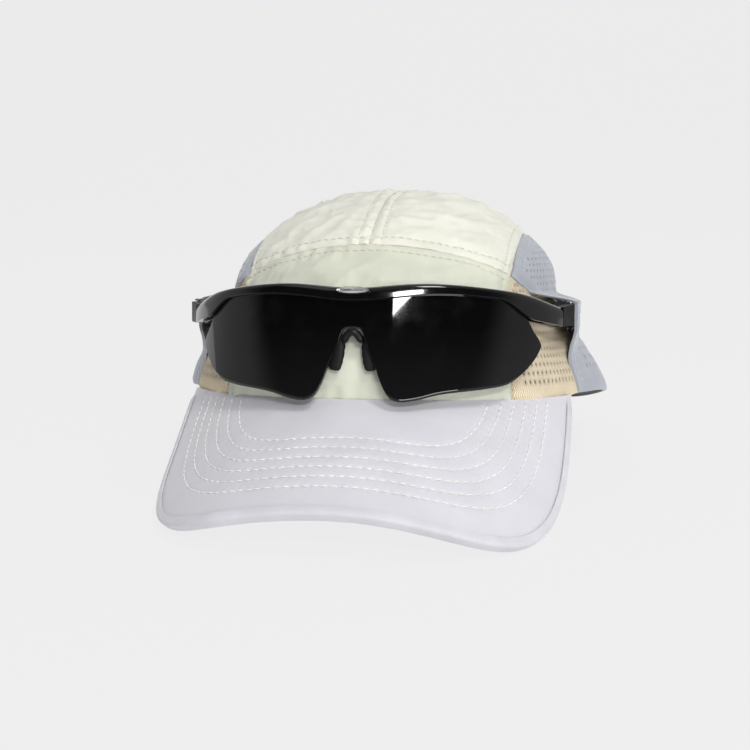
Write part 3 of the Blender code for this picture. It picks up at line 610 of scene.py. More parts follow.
class Look(Nodes):
    """One material, made of a base colour and nodes."""

    def __init__(self, name, colour, roughness, **constants):
        self.material = bpy.data.materials.new(name)
        self.material.use_nodes = True
        super().__init__(self.material.node_tree)
        self.shader = self.tree.nodes["Principled BSDF"]
        self.colour = colour
        self.set(Base_Color=(*colour, 1.0), Roughness=roughness, **constants)

    def set(self, **inputs):
        set_inputs(self.tree, self.shader, {key.replace("_", " "): value for key, value in inputs.items()})

    # Mask for rubbed, lighter edges of woven cloth and for painted shade round the knit's holes.
    def wear_and_shade(self):
        return self.node("ShaderNodeAttribute", attribute_name="wear_and_shade").outputs["Fac"]

    def flat_place(self):
        """Place on the flat cloth, as two numbers in metres."""
        place = self.node("ShaderNodeAttribute", attribute_name="cloth").outputs["Vector"]
        return self.node("ShaderNodeSeparateXYZ", {0: place}).outputs

    def noise(self, size, detail=3.0, vector=None):
        """Noise from 0 to 1 whose lumps are size metres wide."""
        vector = vector or self.node("ShaderNodeTexCoord").outputs["Object"]
        inputs = {"Vector": vector, "Scale": 1.0 / size, "Detail": detail}
        return self.node("ShaderNodeTexNoise", inputs).outputs[0]

    def tones(self, mask, low, high, first, second):
        """From one tone of the colour to another as the mask goes from low to high."""
        return self.mixed(self.ramp(mask, low, high), tinted(self.colour, first), tinted(self.colour, second))

    def tint(self, shade, mask, share, tone):
        """The shade moved towards a tone of the colour by a share of the mask."""
        return self.mixed(self.times(mask, share), shade, tinted(self.colour, tone))

    def finish(self, shade, rough, height, strength, distance):
        bump = self.node("ShaderNodeBump", {"Height": height, "Strength": strength, "Distance": distance})
        self.set(Base_Color=shade, Roughness=rough, Normal=bump.outputs[0])
        return self.material


def tinted(colour, factor):
    return tuple(min(1.0, c * factor) for c in colour) + (1.0,)


def woven(name, colour, thread, roughness, sheen, relief=0.35, blotch=0.10, worn=1.12, rib=1.0):
    """Woven cloth: crossing threads, soft blotches, a sheen and rubbed edges."""
    look = Look(name, colour, roughness, Sheen_Weight=sheen, Sheen_Roughness=0.45, Specular_IOR_Level=0.35)
    across, along, _ = look.flat_place()
    turns = 2.0 * math.pi / thread
    warp = look.math("SINE", look.times(across, turns))
    weft = look.math("SINE", look.times(along, turns / rib))
    weave = look.ramp(look.times(warp, weft), -1.0, 1.0)
    lumps = look.noise(0.012, 4.0)
    grain = look.noise(0.0009, 2.0)
    shade = look.tones(lumps, 0.3, 0.7, 1.0 - blotch, 1.0 + blotch / 2)
    shade = look.tint(shade, weave, 0.22, 0.72)
    shade = look.tint(shade, grain, 0.12, 1.15)
    shade = look.tint(shade, look.wear_and_shade(), 1.0, worn)
    rough = look.math("MAXIMUM", look.ramp(lumps, -2.0 * roughness, 1.6), roughness * 0.85)
    height = look.plus(weave, look.times(grain, 0.6))
    return look.finish(shade, rough, height, relief, 0.00012)


def knitted(name, colour, thread, roughness):
    """Loose knit: rows of loops with darker gaps, and painted shade on the rims of its holes."""
    look = Look(name, colour, roughness, Sheen_Weight=0.35, Sheen_Roughness=0.5, Specular_IOR_Level=0.25)
    across, along, _ = look.flat_place()
    turns = 2.0 * math.pi / thread
    wave = look.math("SINE", look.times(along, turns * 1.3))
    loops = look.math("SINE", look.plus(look.times(across, turns), wave))
    loops = look.math("ABSOLUTE", loops)
    fuzz = look.noise(0.0005, 2.0)
    shade = look.tones(look.noise(0.009, 3.0), 0.3, 0.7, 0.90, 1.06)
    shade = look.mixed(look.ramp(loops, 0.45, 0.0), shade, tinted(colour, 0.72))
    shade = look.tint(shade, fuzz, 0.25, 1.2)
    # Painted shade: the rims of the holes are darkened so that the holes read as dark.
    shade = look.tint(shade, look.wear_and_shade(), 0.45, 0.4)
    height = look.plus(loops, look.times(fuzz, 0.5))
    return look.finish(shade, look.ramp(fuzz, -1.2, 1.0), height, 1.0, 0.0005)


def terry(name, colour):
    """Short-pile towelling."""
    look = Look(name, colour, 0.95, Sheen_Weight=0.6, Sheen_Roughness=0.6, Specular_IOR_Level=0.1)
    loops = look.noise(0.0007, 3.0)
    shade = look.mixed(loops, tinted(colour, 0.55), tinted(colour, 1.6))
    shade = look.tint(shade, look.noise(0.008, 2.0), 0.4, 0.8)
    return look.finish(shade, look.ramp(loops, -3.0, 1.2), loops, 0.8, 0.0004)


def gloss_plastic(name, colour, roughness, coat):
    """Polished moulding with faint swirl marks and dust in its roughness."""
    look = Look(name, colour, roughness, Coat_Weight=coat, Coat_Roughness=0.04, Specular_IOR_Level=0.25)
    marks = look.noise(0.0022, 6.0)
    shade = look.tones(look.noise(0.0004, 2.0), 0.72, 0.85, 1.0, 3.0)
    shade = look.mixed(look.ramp(marks, 0.4, 0.8), shade, tinted(colour, 1.5))
    rough = look.times(look.ramp(marks, 0.2, 0.9), roughness * 0.8)
    return look.finish(shade, look.plus(rough, roughness * 0.6), marks, 0.03, 0.0003)


def satin_plastic(name, colour, roughness=0.45, grain=0.0005):
    """Moulded plastic with a fine spark-eroded grain."""
    look = Look(name, colour, roughness, Specular_IOR_Level=0.25)
    speckle = look.noise(grain, 4.0)
    shade = look.tint(look.tones(look.noise(0.006, 4.0), 0.45, 0.75, 1.0, 1.9), speckle, 0.4, 0.6)
    rough = look.plus(look.times(speckle, 0.3), roughness * 0.75)
    return look.finish(shade, rough, speckle, 0.35, 0.00008)


def steel(name, colour, roughness):
    """Bright metal with fine drawn lines and small scratches."""
    look = Look(name, colour, roughness, Metallic=1.0)
    coordinates = look.node("ShaderNodeTexCoord").outputs["Object"]
    stretched = look.node("ShaderNodeMapping", {"Vector": coordinates, "Scale": (1.0, 6.0, 14.0)})
    lines = look.noise(0.002, 5.0, stretched.outputs[0])
    shade = look.tones(look.noise(0.004, 3.0), 0.4, 0.8, 1.0, 0.7)
    rough = look.plus(look.times(lines, 0.35), roughness * 0.5)
    return look.finish(shade, rough, lines, 0.15, 0.00005)


def smoke_lens(name):
    """Dark tinted lens with a hard glossy coat, faint smudges and a slightly paler lower edge."""
    look = Look(name, (0.003, 0.003, 0.0032), 0.05, Coat_Weight=0.3, Coat_Roughness=0.01, IOR=1.35)
    height = look.flat_place()[1]
    smudge = look.noise(0.011, 5.0)
    paler = look.ramp(height, 0.010, -0.022)
    tint = look.mixed(paler, (0.0022, 0.0022, 0.0025, 1), (0.008, 0.0078, 0.008, 1))
    shade = look.mixed(look.ramp(smudge, 0.5, 0.8), tint, (0.006, 0.006, 0.0065, 1))
    rough = look.times(look.ramp(smudge, 0.45, 0.8), 0.06)
    look.set(Base_Color=shade, Roughness=look.plus(rough, 0.02))
    return look.material


def backdrop_look():
    """Pale card that is mostly lit evenly, so that only a faint shadow shows on it."""
    look = Look("pale_backdrop", (0.06, 0.06, 0.06), 0.9, Specular_IOR_Level=0.0, Emission_Strength=0.80,
                Emission_Color=(1.0, 1.0, 1.0, 1.0))
    blotches = look.mixed(look.noise(0.5, 2.0), (0.058, 0.058, 0.058, 1), (0.062, 0.062, 0.062, 1))
    look.set(Base_Color=blotches)
    return look.material


IVORY = (0.755, 0.755, 0.67)
SAGE = (0.65, 0.665, 0.56)
SLATE = (0.36, 0.38, 0.43)
BEIGE = (0.92, 0.765, 0.53)
LILAC = (0.645, 0.638, 0.69)

ivory_nylon = woven("ivory_nylon", IVORY, 0.00055, 0.62, 0.25)
sage_nylon = woven("sage_nylon", SAGE, 0.00055, 0.62, 0.25)
slate_nylon = woven("slate_nylon", SLATE, 0.0006, 0.60, 0.30, blotch=0.06)
# Near-black for the inner faces of the side meshes and side panels: painted shade inside the cap and in the
# pocket.
slate_inside_painted_shade = woven("slate_inside_painted_shade", (0.085, 0.088, 0.088), 0.0008, 0.85, 0.2)
# Darker grey for the inner faces of the front and crown panels: painted shade of the crown's inside.
pale_inside_painted_shade = woven("pale_inside_painted_shade", (0.33, 0.33, 0.30), 0.0008, 0.8, 0.2)
beige_mesh = knitted("beige_mesh", BEIGE, 0.0019, 0.8)
brim_cloth = woven("brim_cloth", LILAC, 0.0005, 0.72, 0.35, blotch=0.04)
brim_binding_cloth = woven("brim_binding", (0.63, 0.625, 0.675), 0.0007, 0.75, 0.35, relief=0.5, rib=2.0)
seam_tape_cloth = woven("seam_tape", (0.25, 0.25, 0.24), 0.0008, 0.85, 0.3)
webbing = woven("webbing", (0.055, 0.056, 0.062), 0.0012, 0.8, 0.4, relief=0.9, rib=0.5, worn=2.2)
pale_thread, slate_thread, beige_thread, ivory_thread, dark_thread = [
    woven(tag + "_thread", colour, 0.0003, 0.6, 0.3)
    for tag, colour in (("pale", (0.86, 0.86, 0.83)), ("slate", (0.52, 0.55, 0.62)),
                        ("beige", (0.62, 0.52, 0.38)), ("ivory", (0.66, 0.66, 0.55)),
                        ("dark", (0.16, 0.16, 0.17)))]
sweatband_terry = terry("dark_sweatband", (0.060, 0.060, 0.057))
board_plastic = satin_plastic("brim_board", (0.10, 0.105, 0.11), 0.5)
gloss_black = gloss_plastic("gloss_black", (0.003, 0.003, 0.0035), 0.12, 0.5)
satin_black = satin_plastic("satin_black", (0.0035, 0.0035, 0.004), 0.34)
pad_rubber = satin_plastic("pad_rubber", (0.005, 0.005, 0.0055), 0.60, 0.0007)
buckle_plastic = satin_plastic("buckle_plastic", (0.022, 0.022, 0.025), 0.42)
pin_steel = steel("pin_steel", (0.20, 0.20, 0.21), 0.3)
badge_metal = steel("badge_metal", (0.74, 0.75, 0.77), 0.22)
lens_look = smoke_lens("smoke_lens")


# ==== crown pieces
def make_front_panel():
    side = SEAM_THETA - SEAM_GAP
    directions = by_gore(graded(-side, side, 0.125)[:, None], graded(0.0, ARCH_PSI - SEAM_GAP, 0.076))
    borders = [arch_row(0.0), by_gore(np.linspace(-side, side, 300), 0.0)]
    borders += [side_row(s, 0.0, 0.0, ARCH_PSI) for s in (-1, 1)]
    rows = [arch_row(-TOPSTITCH)]
    rows += [side_row(s, TOPSTITCH, 2.0, ARCH_PSI - 3.0) for s in (-1, 1)]
    sewn_panel("front_panel", directions, sage_nylon, 3, borders, rows, "sage_nylon",
               (0.0009, 0.0011, 0.00030), flat=(0.126, 0.078), area=0.0078, rests_on=["sweatband_terry"])


def make_crown_panels():
    for side, tag in SIDES:
        half = slice(0, 128) if side < 0 else slice(132, 260)
        theta = graded(SEAM_GAP, SEAM_THETA - SEAM_GAP, 0.062)[:, None]
        psi = lerp(ARCH_PSI + SEAM_GAP, back_limit(theta), graded(0.0, 1.0, 0.200))
        edge_theta = np.linspace(0.0, SEAM_THETA, 200)
        inset_theta = np.linspace(0.8, SEAM_THETA - 3.0, 200)
        borders = [arch_row(0.0), centre_row(0.0, ARCH_PSI, 180.0 - OPENING_PSI),
                   side_row(side, 0.0, ARCH_PSI, 180.0), by_gore(side * edge_theta, back_limit(edge_theta))]
        rows = [arch_row(TOPSTITCH)[half], centre_row(side * TOPSTITCH, ARCH_PSI + 0.5, 179.0 - OPENING_PSI),
                side_row(side, TOPSTITCH, ARCH_PSI - 1.0, 179.0),
                by_gore(side * inset_theta, back_limit(inset_theta) - 3.4)]
        sewn_panel("crown_panel_" + tag, by_gore(side * theta, psi), ivory_nylon, 11 + 7 * side, borders,
                   rows, "ivory_nylon", flat=(0.062, 0.205), area=0.0120,
                   rests_on=["center_seam_tape_cloth"])


def make_seam_tapes():
    bands = [("center_seam_tape", 0.0, ARCH_PSI + 2.0, 180.0 - OPENING_PSI - 3.0),
             ("side_seam_tape_left", -SEAM_THETA, 26.0, 150.0),
             ("side_seam_tape_right", SEAM_THETA, 26.0, 150.0)]
    for name, theta, start, end in bands:
        half = TAPE_HALF * (0.8 if theta else 1.0)
        offset = TAPE_OFFSET - (MESH_SINK if theta else 0.0)
        across = np.linspace(-1.0, 1.0, 15)[:, None]
        directions = by_gore(theta + half * across, np.linspace(start, end, 220))
        crown_side = 0.0001 * np.cos(across * 7.0) - 0.00012 * noise(crown(directions), 0.004, 2) ** 2
        outer = on_crown(directions, offset + crown_side - 0.0001)
        tape = shell(name + "_cloth", outer, outer - crown_normal(directions) * TAPE_CLOTH, [seam_tape_cloth])
        lay(tape, name, "seam_tape", (round(2.0 * half * 0.0015, 4), round(arcs(outer[7])[-1], 3)),
            rests_on=["crown_panel_left_cloth"])


# ==== side pieces
BETA_STEP = 0.0016         # metres of cloth for one degree on the crown's sides
MESH_PITCH = (0.0026, 0.0033)            # between holes, round the head and up it
MESH_HOLE = (0.16, 0.22)                 # half a hole, as a share of the pitch
MESH_WHOLE = (0.0045, 0.0040)            # width without holes at the top and the hem
PANEL_PITCH = (0.0042, 0.0036)
PANEL_HOLE = (0.13, 0.27)
PANEL_WHOLE = (0.0085, 0.0085)
PANEL_FRONT = 0.0125
PANEL_REAR = 0.0100
PANEL_BACK = 140.0         # azimuth of the panel's rear end at the hem
SIDE_SEAM = SEAM_THETA + SEAM_GAP


def overlap(d):
    alpha = np.degrees(np.arctan2(np.abs(d[..., 0]), -d[..., 1]))
    return smooth((alpha - OVERLAP[0]) / (OVERLAP[1] - OVERLAP[0]))


def seam_limit(alpha):
    """Latitude of the side seam above an azimuth."""
    psi = np.linspace(0.0, 180.0, 721)
    d = by_gore(SIDE_SEAM, psi)
    azimuth = np.degrees(np.arctan2(d[:, 0], -d[:, 1]))
    return np.interp(alpha, azimuth, np.degrees(np.arcsin(d[:, 2])))


FLAP_TOP_T = by_gore(SIDE_SEAM, ARCH_PSI + SEAM_GAP)[2]


def flap_edge(beta):
    """Azimuth of the pocket's free front edge at a latitude."""
    v = np.sin(rad(beta)) / FLAP_TOP_T
    return lerp(FLAP_HEM, FLAP_TOP, smooth((v - CUTOUT_FROM) / (1.0 - CUTOUT_FROM)) ** 0.8)


def lattice(start, end, top, pitch_a, pitch_b):
    """Nodes of a hole pattern, four to a cell each way, as azimuths and latitudes."""
    cells_a = int(round((end - start) * BETA_STEP / pitch_a))
    cells_b = int(round(top * BETA_STEP / pitch_b))
    alpha = np.linspace(start, end, 4 * cells_a + 1)
    beta = np.linspace(0.0, top, 4 * cells_b + 1)
    return np.meshgrid(alpha, beta, indexing="ij")


def inside(beta, top, above, below):
    """Where cloth has holes: away from its top and from its hem."""
    return ((top - beta) * BETA_STEP > above) & (beta * BETA_STEP > below)


def open_holes(alpha, beta, allowed, width, height, stagger):
    """Moves the eight nodes round each hole's centre onto an oval and drops the quads inside it."""
    keep = np.ones((alpha.shape[0] - 1, alpha.shape[1] - 1), bool)
    shaded_rims = np.zeros(alpha.shape)
    cell_a = alpha[4, 0] - alpha[0, 0]
    cell_b = beta[0, 4] - beta[0, 0]
    ring = [(i, j) for i in (-1, 0, 1) for j in (-1, 0, 1) if (i, j) != (0, 0)]
    for row, cj in enumerate(range(2, alpha.shape[1] - 2, 4)):
        for ci in range(2 + (2 * (row % 2) if stagger else 0), alpha.shape[0] - 2, 4):
            if not allowed[ci, cj]:
                continue
            keep[ci - 1:ci + 1, cj - 1:cj + 1] = False
            # This mask marks the rims round each hole, where the knit's colour paints shade.
            shaded_rims[ci - 1:ci + 2, cj - 1:cj + 2] = 1.0
            middle_a, middle_b = alpha[ci, cj], beta[ci, cj]
            for i, j in ring:
                turn = math.atan2(j, i)
                alpha[ci + i, cj + j] = middle_a + cell_a * width * math.cos(turn)
                beta[ci + i, cj + j] = middle_b + cell_b * height * math.sin(turn)
    return keep, shaded_rims


def side_directions(side, alpha, beta):
    d = by_azimuth(alpha, np.sin(rad(beta)))
    return d * np.array([side, 1.0, 1.0])


def make_side_meshes():
    for side, tag in SIDES:
        alpha, beta = lattice(SIDE_SEAM, MESH_REAR, 50.0, *MESH_PITCH)
        top = seam_limit(alpha)
        allowed = inside(beta, top, *MESH_WHOLE) & (alpha > SEAM_THETA + 2.6) & (alpha < MESH_REAR - 2.5)
        # The rims mask says where painted shade darkens the knit round each hole.
        keep, shaded_rims = open_holes(alpha, beta, allowed, *MESH_HOLE, False)
        beta = np.minimum(beta, top)
        d = side_directions(side, alpha, beta)
        base = on_crown(d, -MESH_SINK * overlap(d))
        normals = crown_normal(d)
        seam = crown(by_gore(side * SIDE_SEAM, np.linspace(0.0, 122.0, 400)))
        hem = crown(side_directions(side, np.linspace(SEAM_THETA, MESH_REAR, 300), 0.0))
        row = crown_line(by_gore(side * (SEAM_THETA + 2.7), np.linspace(8.0, ARCH_PSI + 4.0, 300)))

        def relief(points):
            soft = 0.00060 * noise(points, 0.022, 21 + side)
            soft += 0.0011 * (crease(points @ TURNED, np.array([0.030, 0.012, 0.016]), 23 + side) - 0.3)
            far, low, dip = [nearest(points, line)[0] for line in (seam, hem, row[0])]
            rolled = ROLL * (bell(far, ROLL_WIDTH) + 0.7 * bell(low, ROLL_WIDTH)) + DIP * bell(dip, DIP_WIDTH)
            return soft * smooth(far / 0.008) - rolled

        ribs = 0.00011 * np.cos(2.0 * np.pi * beta * BETA_STEP / MESH_PITCH[1])
        height = (relief(base) + ribs) * (1.0 - overlap(d))
        outer = hem_drop(base + normals * height[..., None], d)
        # The mesh's inner faces take the near-black look that paints the shade inside the cap.
        mesh = shell("side_mesh_" + tag + "_cloth", outer, outer - normals * MESH_CLOTH,
                     [beige_mesh, slate_inside_painted_shade], keep, np.stack([alpha, beta], axis=-1) * BETA_STEP, shaded_rims)
        stitches = sewn_rows("side_mesh_" + tag, [row], relief, beige_thread, "beige_mesh")
        lay(mesh, "side_mesh_" + tag, "beige_mesh", (0.122, 0.078), area=0.0077, rests_on=["sweatband_terry"],
            with_pieces=[stitches])


def pocket_pull(points):
    """How far the temple in the pocket pushes the outer panel out, 0 to 1."""
    temple_z = HINGE_Z + (HINGE_Y - points[..., 1]) * math.tan(rad(-TEMPLE_PITCH))
    above = 1.0 - (points[..., 2] - temple_z - POCKET_HALF) / POCKET_ABOVE
    below = 1.0 - (temple_z - POCKET_HALF - points[..., 2]) / POCKET_BELOW
    fade = 1.0 - smooth((points[..., 1] - POCKET_BACK) / POCKET_FADE)
    return smooth(above) * smooth(below) * fade


def pocket_skin(d):
    """The side panel's smooth shape: over the mesh at first, then pushed out by the temple."""
    points = on_crown(d, FLAP_LIFT * (1.0 - overlap(d)))
    reach = np.maximum(0.0, POCKET_X - np.abs(points[..., 0]))
    sewn = smooth((np.abs(d[..., 0]) - math.sin(rad(SIDE_SEAM))) / SEAM_HOLD)
    points[..., 0] += np.copysign(reach * pocket_pull(points) * sewn, points[..., 0])
    return points


def make_side_panels():
    for side, tag in SIDES:
        alpha, beta = lattice(FLAP_TOP, 180.0 - SIDE_SEAM, 51.0, *PANEL_PITCH)
        top = seam_limit(alpha)
        front = (alpha - flap_edge(np.minimum(beta, top))) * BETA_STEP
        allowed = inside(beta, top, *PANEL_WHOLE) & (front > PANEL_FRONT) \
            & ((PANEL_BACK - alpha) * BETA_STEP > PANEL_REAR)
        keep, _ = open_holes(alpha, beta, allowed, *PANEL_HOLE, True)
        beta = np.minimum(beta, top)
        alpha = np.minimum(np.maximum(alpha, flap_edge(beta)), 180.0 - SIDE_SEAM)
        beta = np.minimum(beta, seam_limit(alpha))
        d = side_directions(side, alpha, beta)
        base = pocket_skin(d)
        normals = crown_normal(d)
        edge_beta = np.linspace(0.0, np.degrees(np.arcsin(FLAP_TOP_T)), 400)
        seam = pocket_skin(by_gore(side * SIDE_SEAM, np.linspace(ARCH_PSI, 180.0, 600)))
        free = pocket_skin(side_directions(side, flap_edge(edge_beta), edge_beta))
        hem = pocket_skin(side_directions(side, np.linspace(FLAP_HEM, PANEL_BACK, 400), 0.0))
        seam_row = by_gore(side * (SEAM_THETA + 2.9), np.linspace(ARCH_PSI + 3.0, 172.0, 500))
        edge_row = side_directions(side, flap_edge(edge_beta[20:385]) + 1.9, edge_beta[20:385] - 0.6)
        rows = [(pocket_skin(line), crown_normal(line)) for line in (seam_row, edge_row)]

        def relief(points):
            return cloth_height(points, 41 + 5 * side, [seam, hem, free], [line for line, _ in rows],
                                0.00035, 0.00030, 0.00010)

        outer = base + normals * relief(base)[..., None]
        far, _ = nearest(base, free)
        turned = CLOTH + 0.0005 * smooth((0.0050 - far) / 0.0010)
        # The panel's inner faces take the near-black look that paints the shade in the pocket and inside the
        # cap.
        panel = shell("side_panel_" + tag + "_cloth", outer, outer - normals * turned[..., None],
                      [slate_nylon, slate_inside_painted_shade], keep, np.stack([alpha, beta], axis=-1) * BETA_STEP,
                      0.5 * bell(far, 0.0012))
        stitches = sewn_rows("side_panel_" + tag, rows, relief, slate_thread, "slate_nylon")
        lay(panel, "side_panel_" + tag, "slate_nylon", (0.140, 0.080), area=0.0095,
            rests_on=["side_mesh_" + tag + "_cloth"], with_pieces=[stitches])


def make_sweatband():
    t = np.linspace(0.012, BAND_TOP_T, 40)
    directions = by_azimuth(np.linspace(-BAND_END, BAND_END, 420)[:, None], t)
    base = on_crown(directions, BAND_OFFSET)
    normals = crown_normal(directions)
    pile = 0.00022 * noise(base, 0.0014, 5) + 0.0002 * noise(base, 0.007, 6)
    round_edge = 0.00035 * bell(np.minimum(t - t[0], t[-1] - t)[None, :] * 0.085, 0.0009)
    outer = base - normals * (round_edge + 0.0002)[..., None]
    inner = base + normals * (pile - BAND_CLOTH - 0.0002 + round_edge)[..., None]
    band = shell("sweatband_terry", outer, inner, [sweatband_terry])
    row = by_azimuth(np.linspace(-BAND_END + 2, BAND_END - 2, 500), BAND_ROW_T)
    line = on_crown(row, BAND_OFFSET - BAND_CLOTH - 0.0003)
    rows = [(line, -crown_normal(row), BAND_PITCH, BAND_STITCH)]
    stitches = sew("sweatband", rows, dark_thread, "dark_sweatband")
    lay(band, "sweatband", "dark_sweatband", (0.460, 0.027), with_pieces=[stitches])


# ==== brim
SLOPE_SIN, SLOPE_COS = math.sin(rad(BRIM_SLOPE)), math.cos(rad(BRIM_SLOPE))


def bent_at(u, v, depth=0.0):
    """Point of the evenly bent brim: u across, v forward down the slope, depth below the top face."""
    up = np.array([0.0, -SLOPE_SIN, SLOPE_COS])
    forward = np.array([0.0, -SLOPE_COS, -SLOPE_SIN])
    radius = (BRIM_BEND - np.asarray(depth, float))[..., None]
    origin = np.array([0.0, -FRONT_REACH, BRIM_ORIGIN_Z])
    return origin + forward * np.asarray(v)[..., None] + brim_normal(u) * radius - up * BRIM_BEND


def brim_normal(u):
    angle = np.asarray(u) / BRIM_BEND
    return xyz(np.sin(angle), -SLOPE_SIN * np.cos(angle), SLOPE_COS * np.cos(angle))


HEM_ALPHA = np.linspace(0.0, 90.0, 900)
HEM_LINE = crown(by_azimuth(HEM_ALPHA, 0.0))
HEM_WALL = on_crown(by_azimuth(HEM_ALPHA, 0.0), HEM_GAP)
FLAT_U = np.linspace(0.0, 0.093, 500)


def brim_roots():
    """For each u of FLAT_U: v where the brim meets the hem, and the lift that puts its root under it."""
    x = BRIM_BEND * np.sin(FLAT_U / BRIM_BEND)
    drop = BRIM_BEND * (1.0 - np.cos(FLAT_U / BRIM_BEND))
    wall = np.interp(x, HEM_LINE[:, 0], HEM_WALL[:, 1])
    hem = np.interp(x, HEM_LINE[:, 0], HEM_LINE[:, 2])
    v = (drop * SLOPE_SIN - FRONT_REACH - wall) / SLOPE_COS
    return v, hem - ROOT_BELOW - bent_at(FLAT_U, v)[:, 2]


ROOT_V, ROOT_LIFT = brim_roots()


def brim_attach(u):
    return np.interp(np.abs(u), FLAT_U, ROOT_V)


def brim_at(u, v, depth=0.0):
    """Point of the brim, whose root is lifted up to the hem it is sewn to."""
    points = bent_at(u, v, depth)
    away = np.asarray(v) - brim_attach(u)
    points[..., 2] += np.interp(np.abs(u), FLAT_U, ROOT_LIFT) * (1.0 - smooth(away / ROOT_REACH))
    points[..., 2] += CORNER_LIFT * smooth(-np.asarray(u) / BRIM_HALF) * smooth(away / BRIM_LENGTH)
    return points


def rounded_edge(half, length):
    """Right-to-left superellipse of the brim's plan, in (u, v)."""
    angle = np.pi * np.arange(2401) / 2400
    u = half * rounder(np.cos(angle), 2.0 / BRIM_SIDE_POWER)
    v = BRIM_SIDE + length * np.maximum(0.0, np.sin(angle)) ** (2.0 / BRIM_FRONT_POWER)
    return np.stack([u, v], axis=1)


def brim_outline(inset, step):
    raw = rounded_edge(BRIM_HALF, BRIM_LENGTH - BRIM_SIDE)
    along = unit(raw[2:] - raw[:-2])
    moved_in = raw[1:-1] + np.stack([-along[:, 1], along[:, 0]], axis=1) * inset
    held = moved_in[moved_in[:, 1] > brim_attach(moved_in[:, 0]) + 0.0002]
    return resample(held, step)


def brim_row(inset):
    """A stitch row: the brim's edge shrunk by inset, so that its corners stay round."""
    row = rounded_edge(BRIM_HALF - inset, BRIM_LENGTH - BRIM_SIDE - inset)
    row = row[row[:, 1] > brim_attach(row[:, 0]) + 0.0012]
    return resample(row, 0.0005)


def brim_relief(points, rows):
    """The covers puff up a little between their stitch rows."""
    height = 0.00008 * noise(points, 0.02, 61) + 0.00003 * noise(points, 0.006, 62)
    for row in rows:
        far, along = nearest(points, row)
        swing = np.sin(along * 2 * np.pi / BRIM_PITCH)
        height -= 0.00026 * bell(far, 0.00085) + 0.00005 * bell(far, 0.003) * swing
    return height


def brim_plan(inset, step, count):
    """Grid of (u, v) over the brim, from its root to its edge."""
    edge = brim_outline(inset, step)
    u = np.linspace(edge[0, 0], edge[-1, 0], len(edge))
    root = np.stack([u, brim_attach(u)], axis=1)
    return lerp(root[:, None], edge[:, None], np.linspace(0.0, 1.0, count)[None, :, None])


def make_brim_cover(name, depth, facing):
    """facing is 1 for the upper cover, whose relief stands up, and -1 for the lower one."""
    flat = brim_plan(BRIM_INSET, 0.0009, 150)
    u, v = flat[..., 0], flat[..., 1]
    plan_rows = [brim_row(inset) for inset in BRIM_ROWS]
    relief = brim_relief(brim_at(u, v), [brim_at(row[:, 0], row[:, 1]) for row in plan_rows])
    lift = relief - 0.00025 * bell((1.0 - np.linspace(0.0, 1.0, 150)) * 0.06, 0.0012)
    surface = depth if facing > 0 else depth + COVER
    outer = brim_at(u, v, surface - facing * lift)
    inner = brim_at(u, v, 2.0 * depth + COVER - surface)
    cover = shell(name + "_cloth", outer, inner, [brim_cloth], cloth=flat)
    lines = []
    for row in plan_rows:
        base = brim_at(row[:, 0], row[:, 1], surface + 0.00016 * facing)
        lines.append((base, facing * brim_normal(row[:, 0]), BRIM_PITCH, BRIM_STITCH))
    stitches = sew(name, lines, pale_thread, "brim_cloth", BRIM_THREAD)
    lay(cover, name, "brim_cloth", (0.171, 0.100), area=0.0108, rests_on=["brim_board_core"],
        with_pieces=[stitches])


def make_brim():
    top = COVER + PLY_GAP
    make_brim_cover("brim_upper_cover", 0.0, 1)
    make_brim_cover("brim_lower_cover", top + BOARD + PLY_GAP, -1)
    flat = brim_plan(BRIM_INSET + 0.0004, 0.0015, 40)
    skins = [brim_at(flat[..., 0], flat[..., 1], depth) for depth in (top, top + BOARD)]
    board = shell("brim_board_core", skins[0], skins[1], [board_plastic], cloth=flat)
    place(board, stands_for=["brim_board"], slot="brim_board")


def make_brim_binding():
    """A folded tape round the brim's edge, with a rounded fold and slight puckers."""
    middle = COVER + BOARD / 2.0 + PLY_GAP
    half = middle + PLY_GAP + BIND_WALL
    edge = brim_outline(0.0, 0.0008)[4:-4]
    along = unit(np.gradient(edge, axis=0))
    inward = np.stack([-along[:, 1], along[:, 0]], axis=1)
    turn = np.linspace(-np.pi / 2.0, np.pi / 2.0, 23)
    c = np.sqrt(np.maximum(0.0, np.cos(turn)))
    s = rounder(np.sin(turn), 0.5)
    run = arcs(edge)
    end = smooth(np.minimum(run, run[-1] - run) / 0.007)[:, None]
    skins = []
    for wall in (0.0, BIND_WALL):
        inset = wall + (BIND_WIDTH - wall) * (1.0 - c)
        depth = middle + (lerp(middle, half, end) - wall) * s[None, :]
        flat = edge[:, None] + inward[:, None] * inset[None, :, None]
        if wall == 0.0:
            ripple = 0.00007 * noise(brim_at(flat[..., 0], flat[..., 1], depth), 0.0045, 71)
            depth = depth - np.sign(s)[None, :] * ripple * (np.abs(s)[None, :] > 0.7) * end
        skins.append(brim_at(flat[..., 0], flat[..., 1], depth))
    binding = shell("brim_edge_binding_tape", skins[0], skins[1], [brim_binding_cloth])
    lay(binding, "brim_edge_binding", "brim_binding", (0.0105, round(arcs(skins[0][:, 11])[-1], 3)), "folded",
        ["brim_upper_cover_cloth"])


# ==== strap
def hem_path(start, end, offset, count):
    """XY points along the hem, at an offset from the crown's skin."""
    return on_crown(by_azimuth(np.linspace(start, end, count), 0.0), offset)[:, :2].tolist()


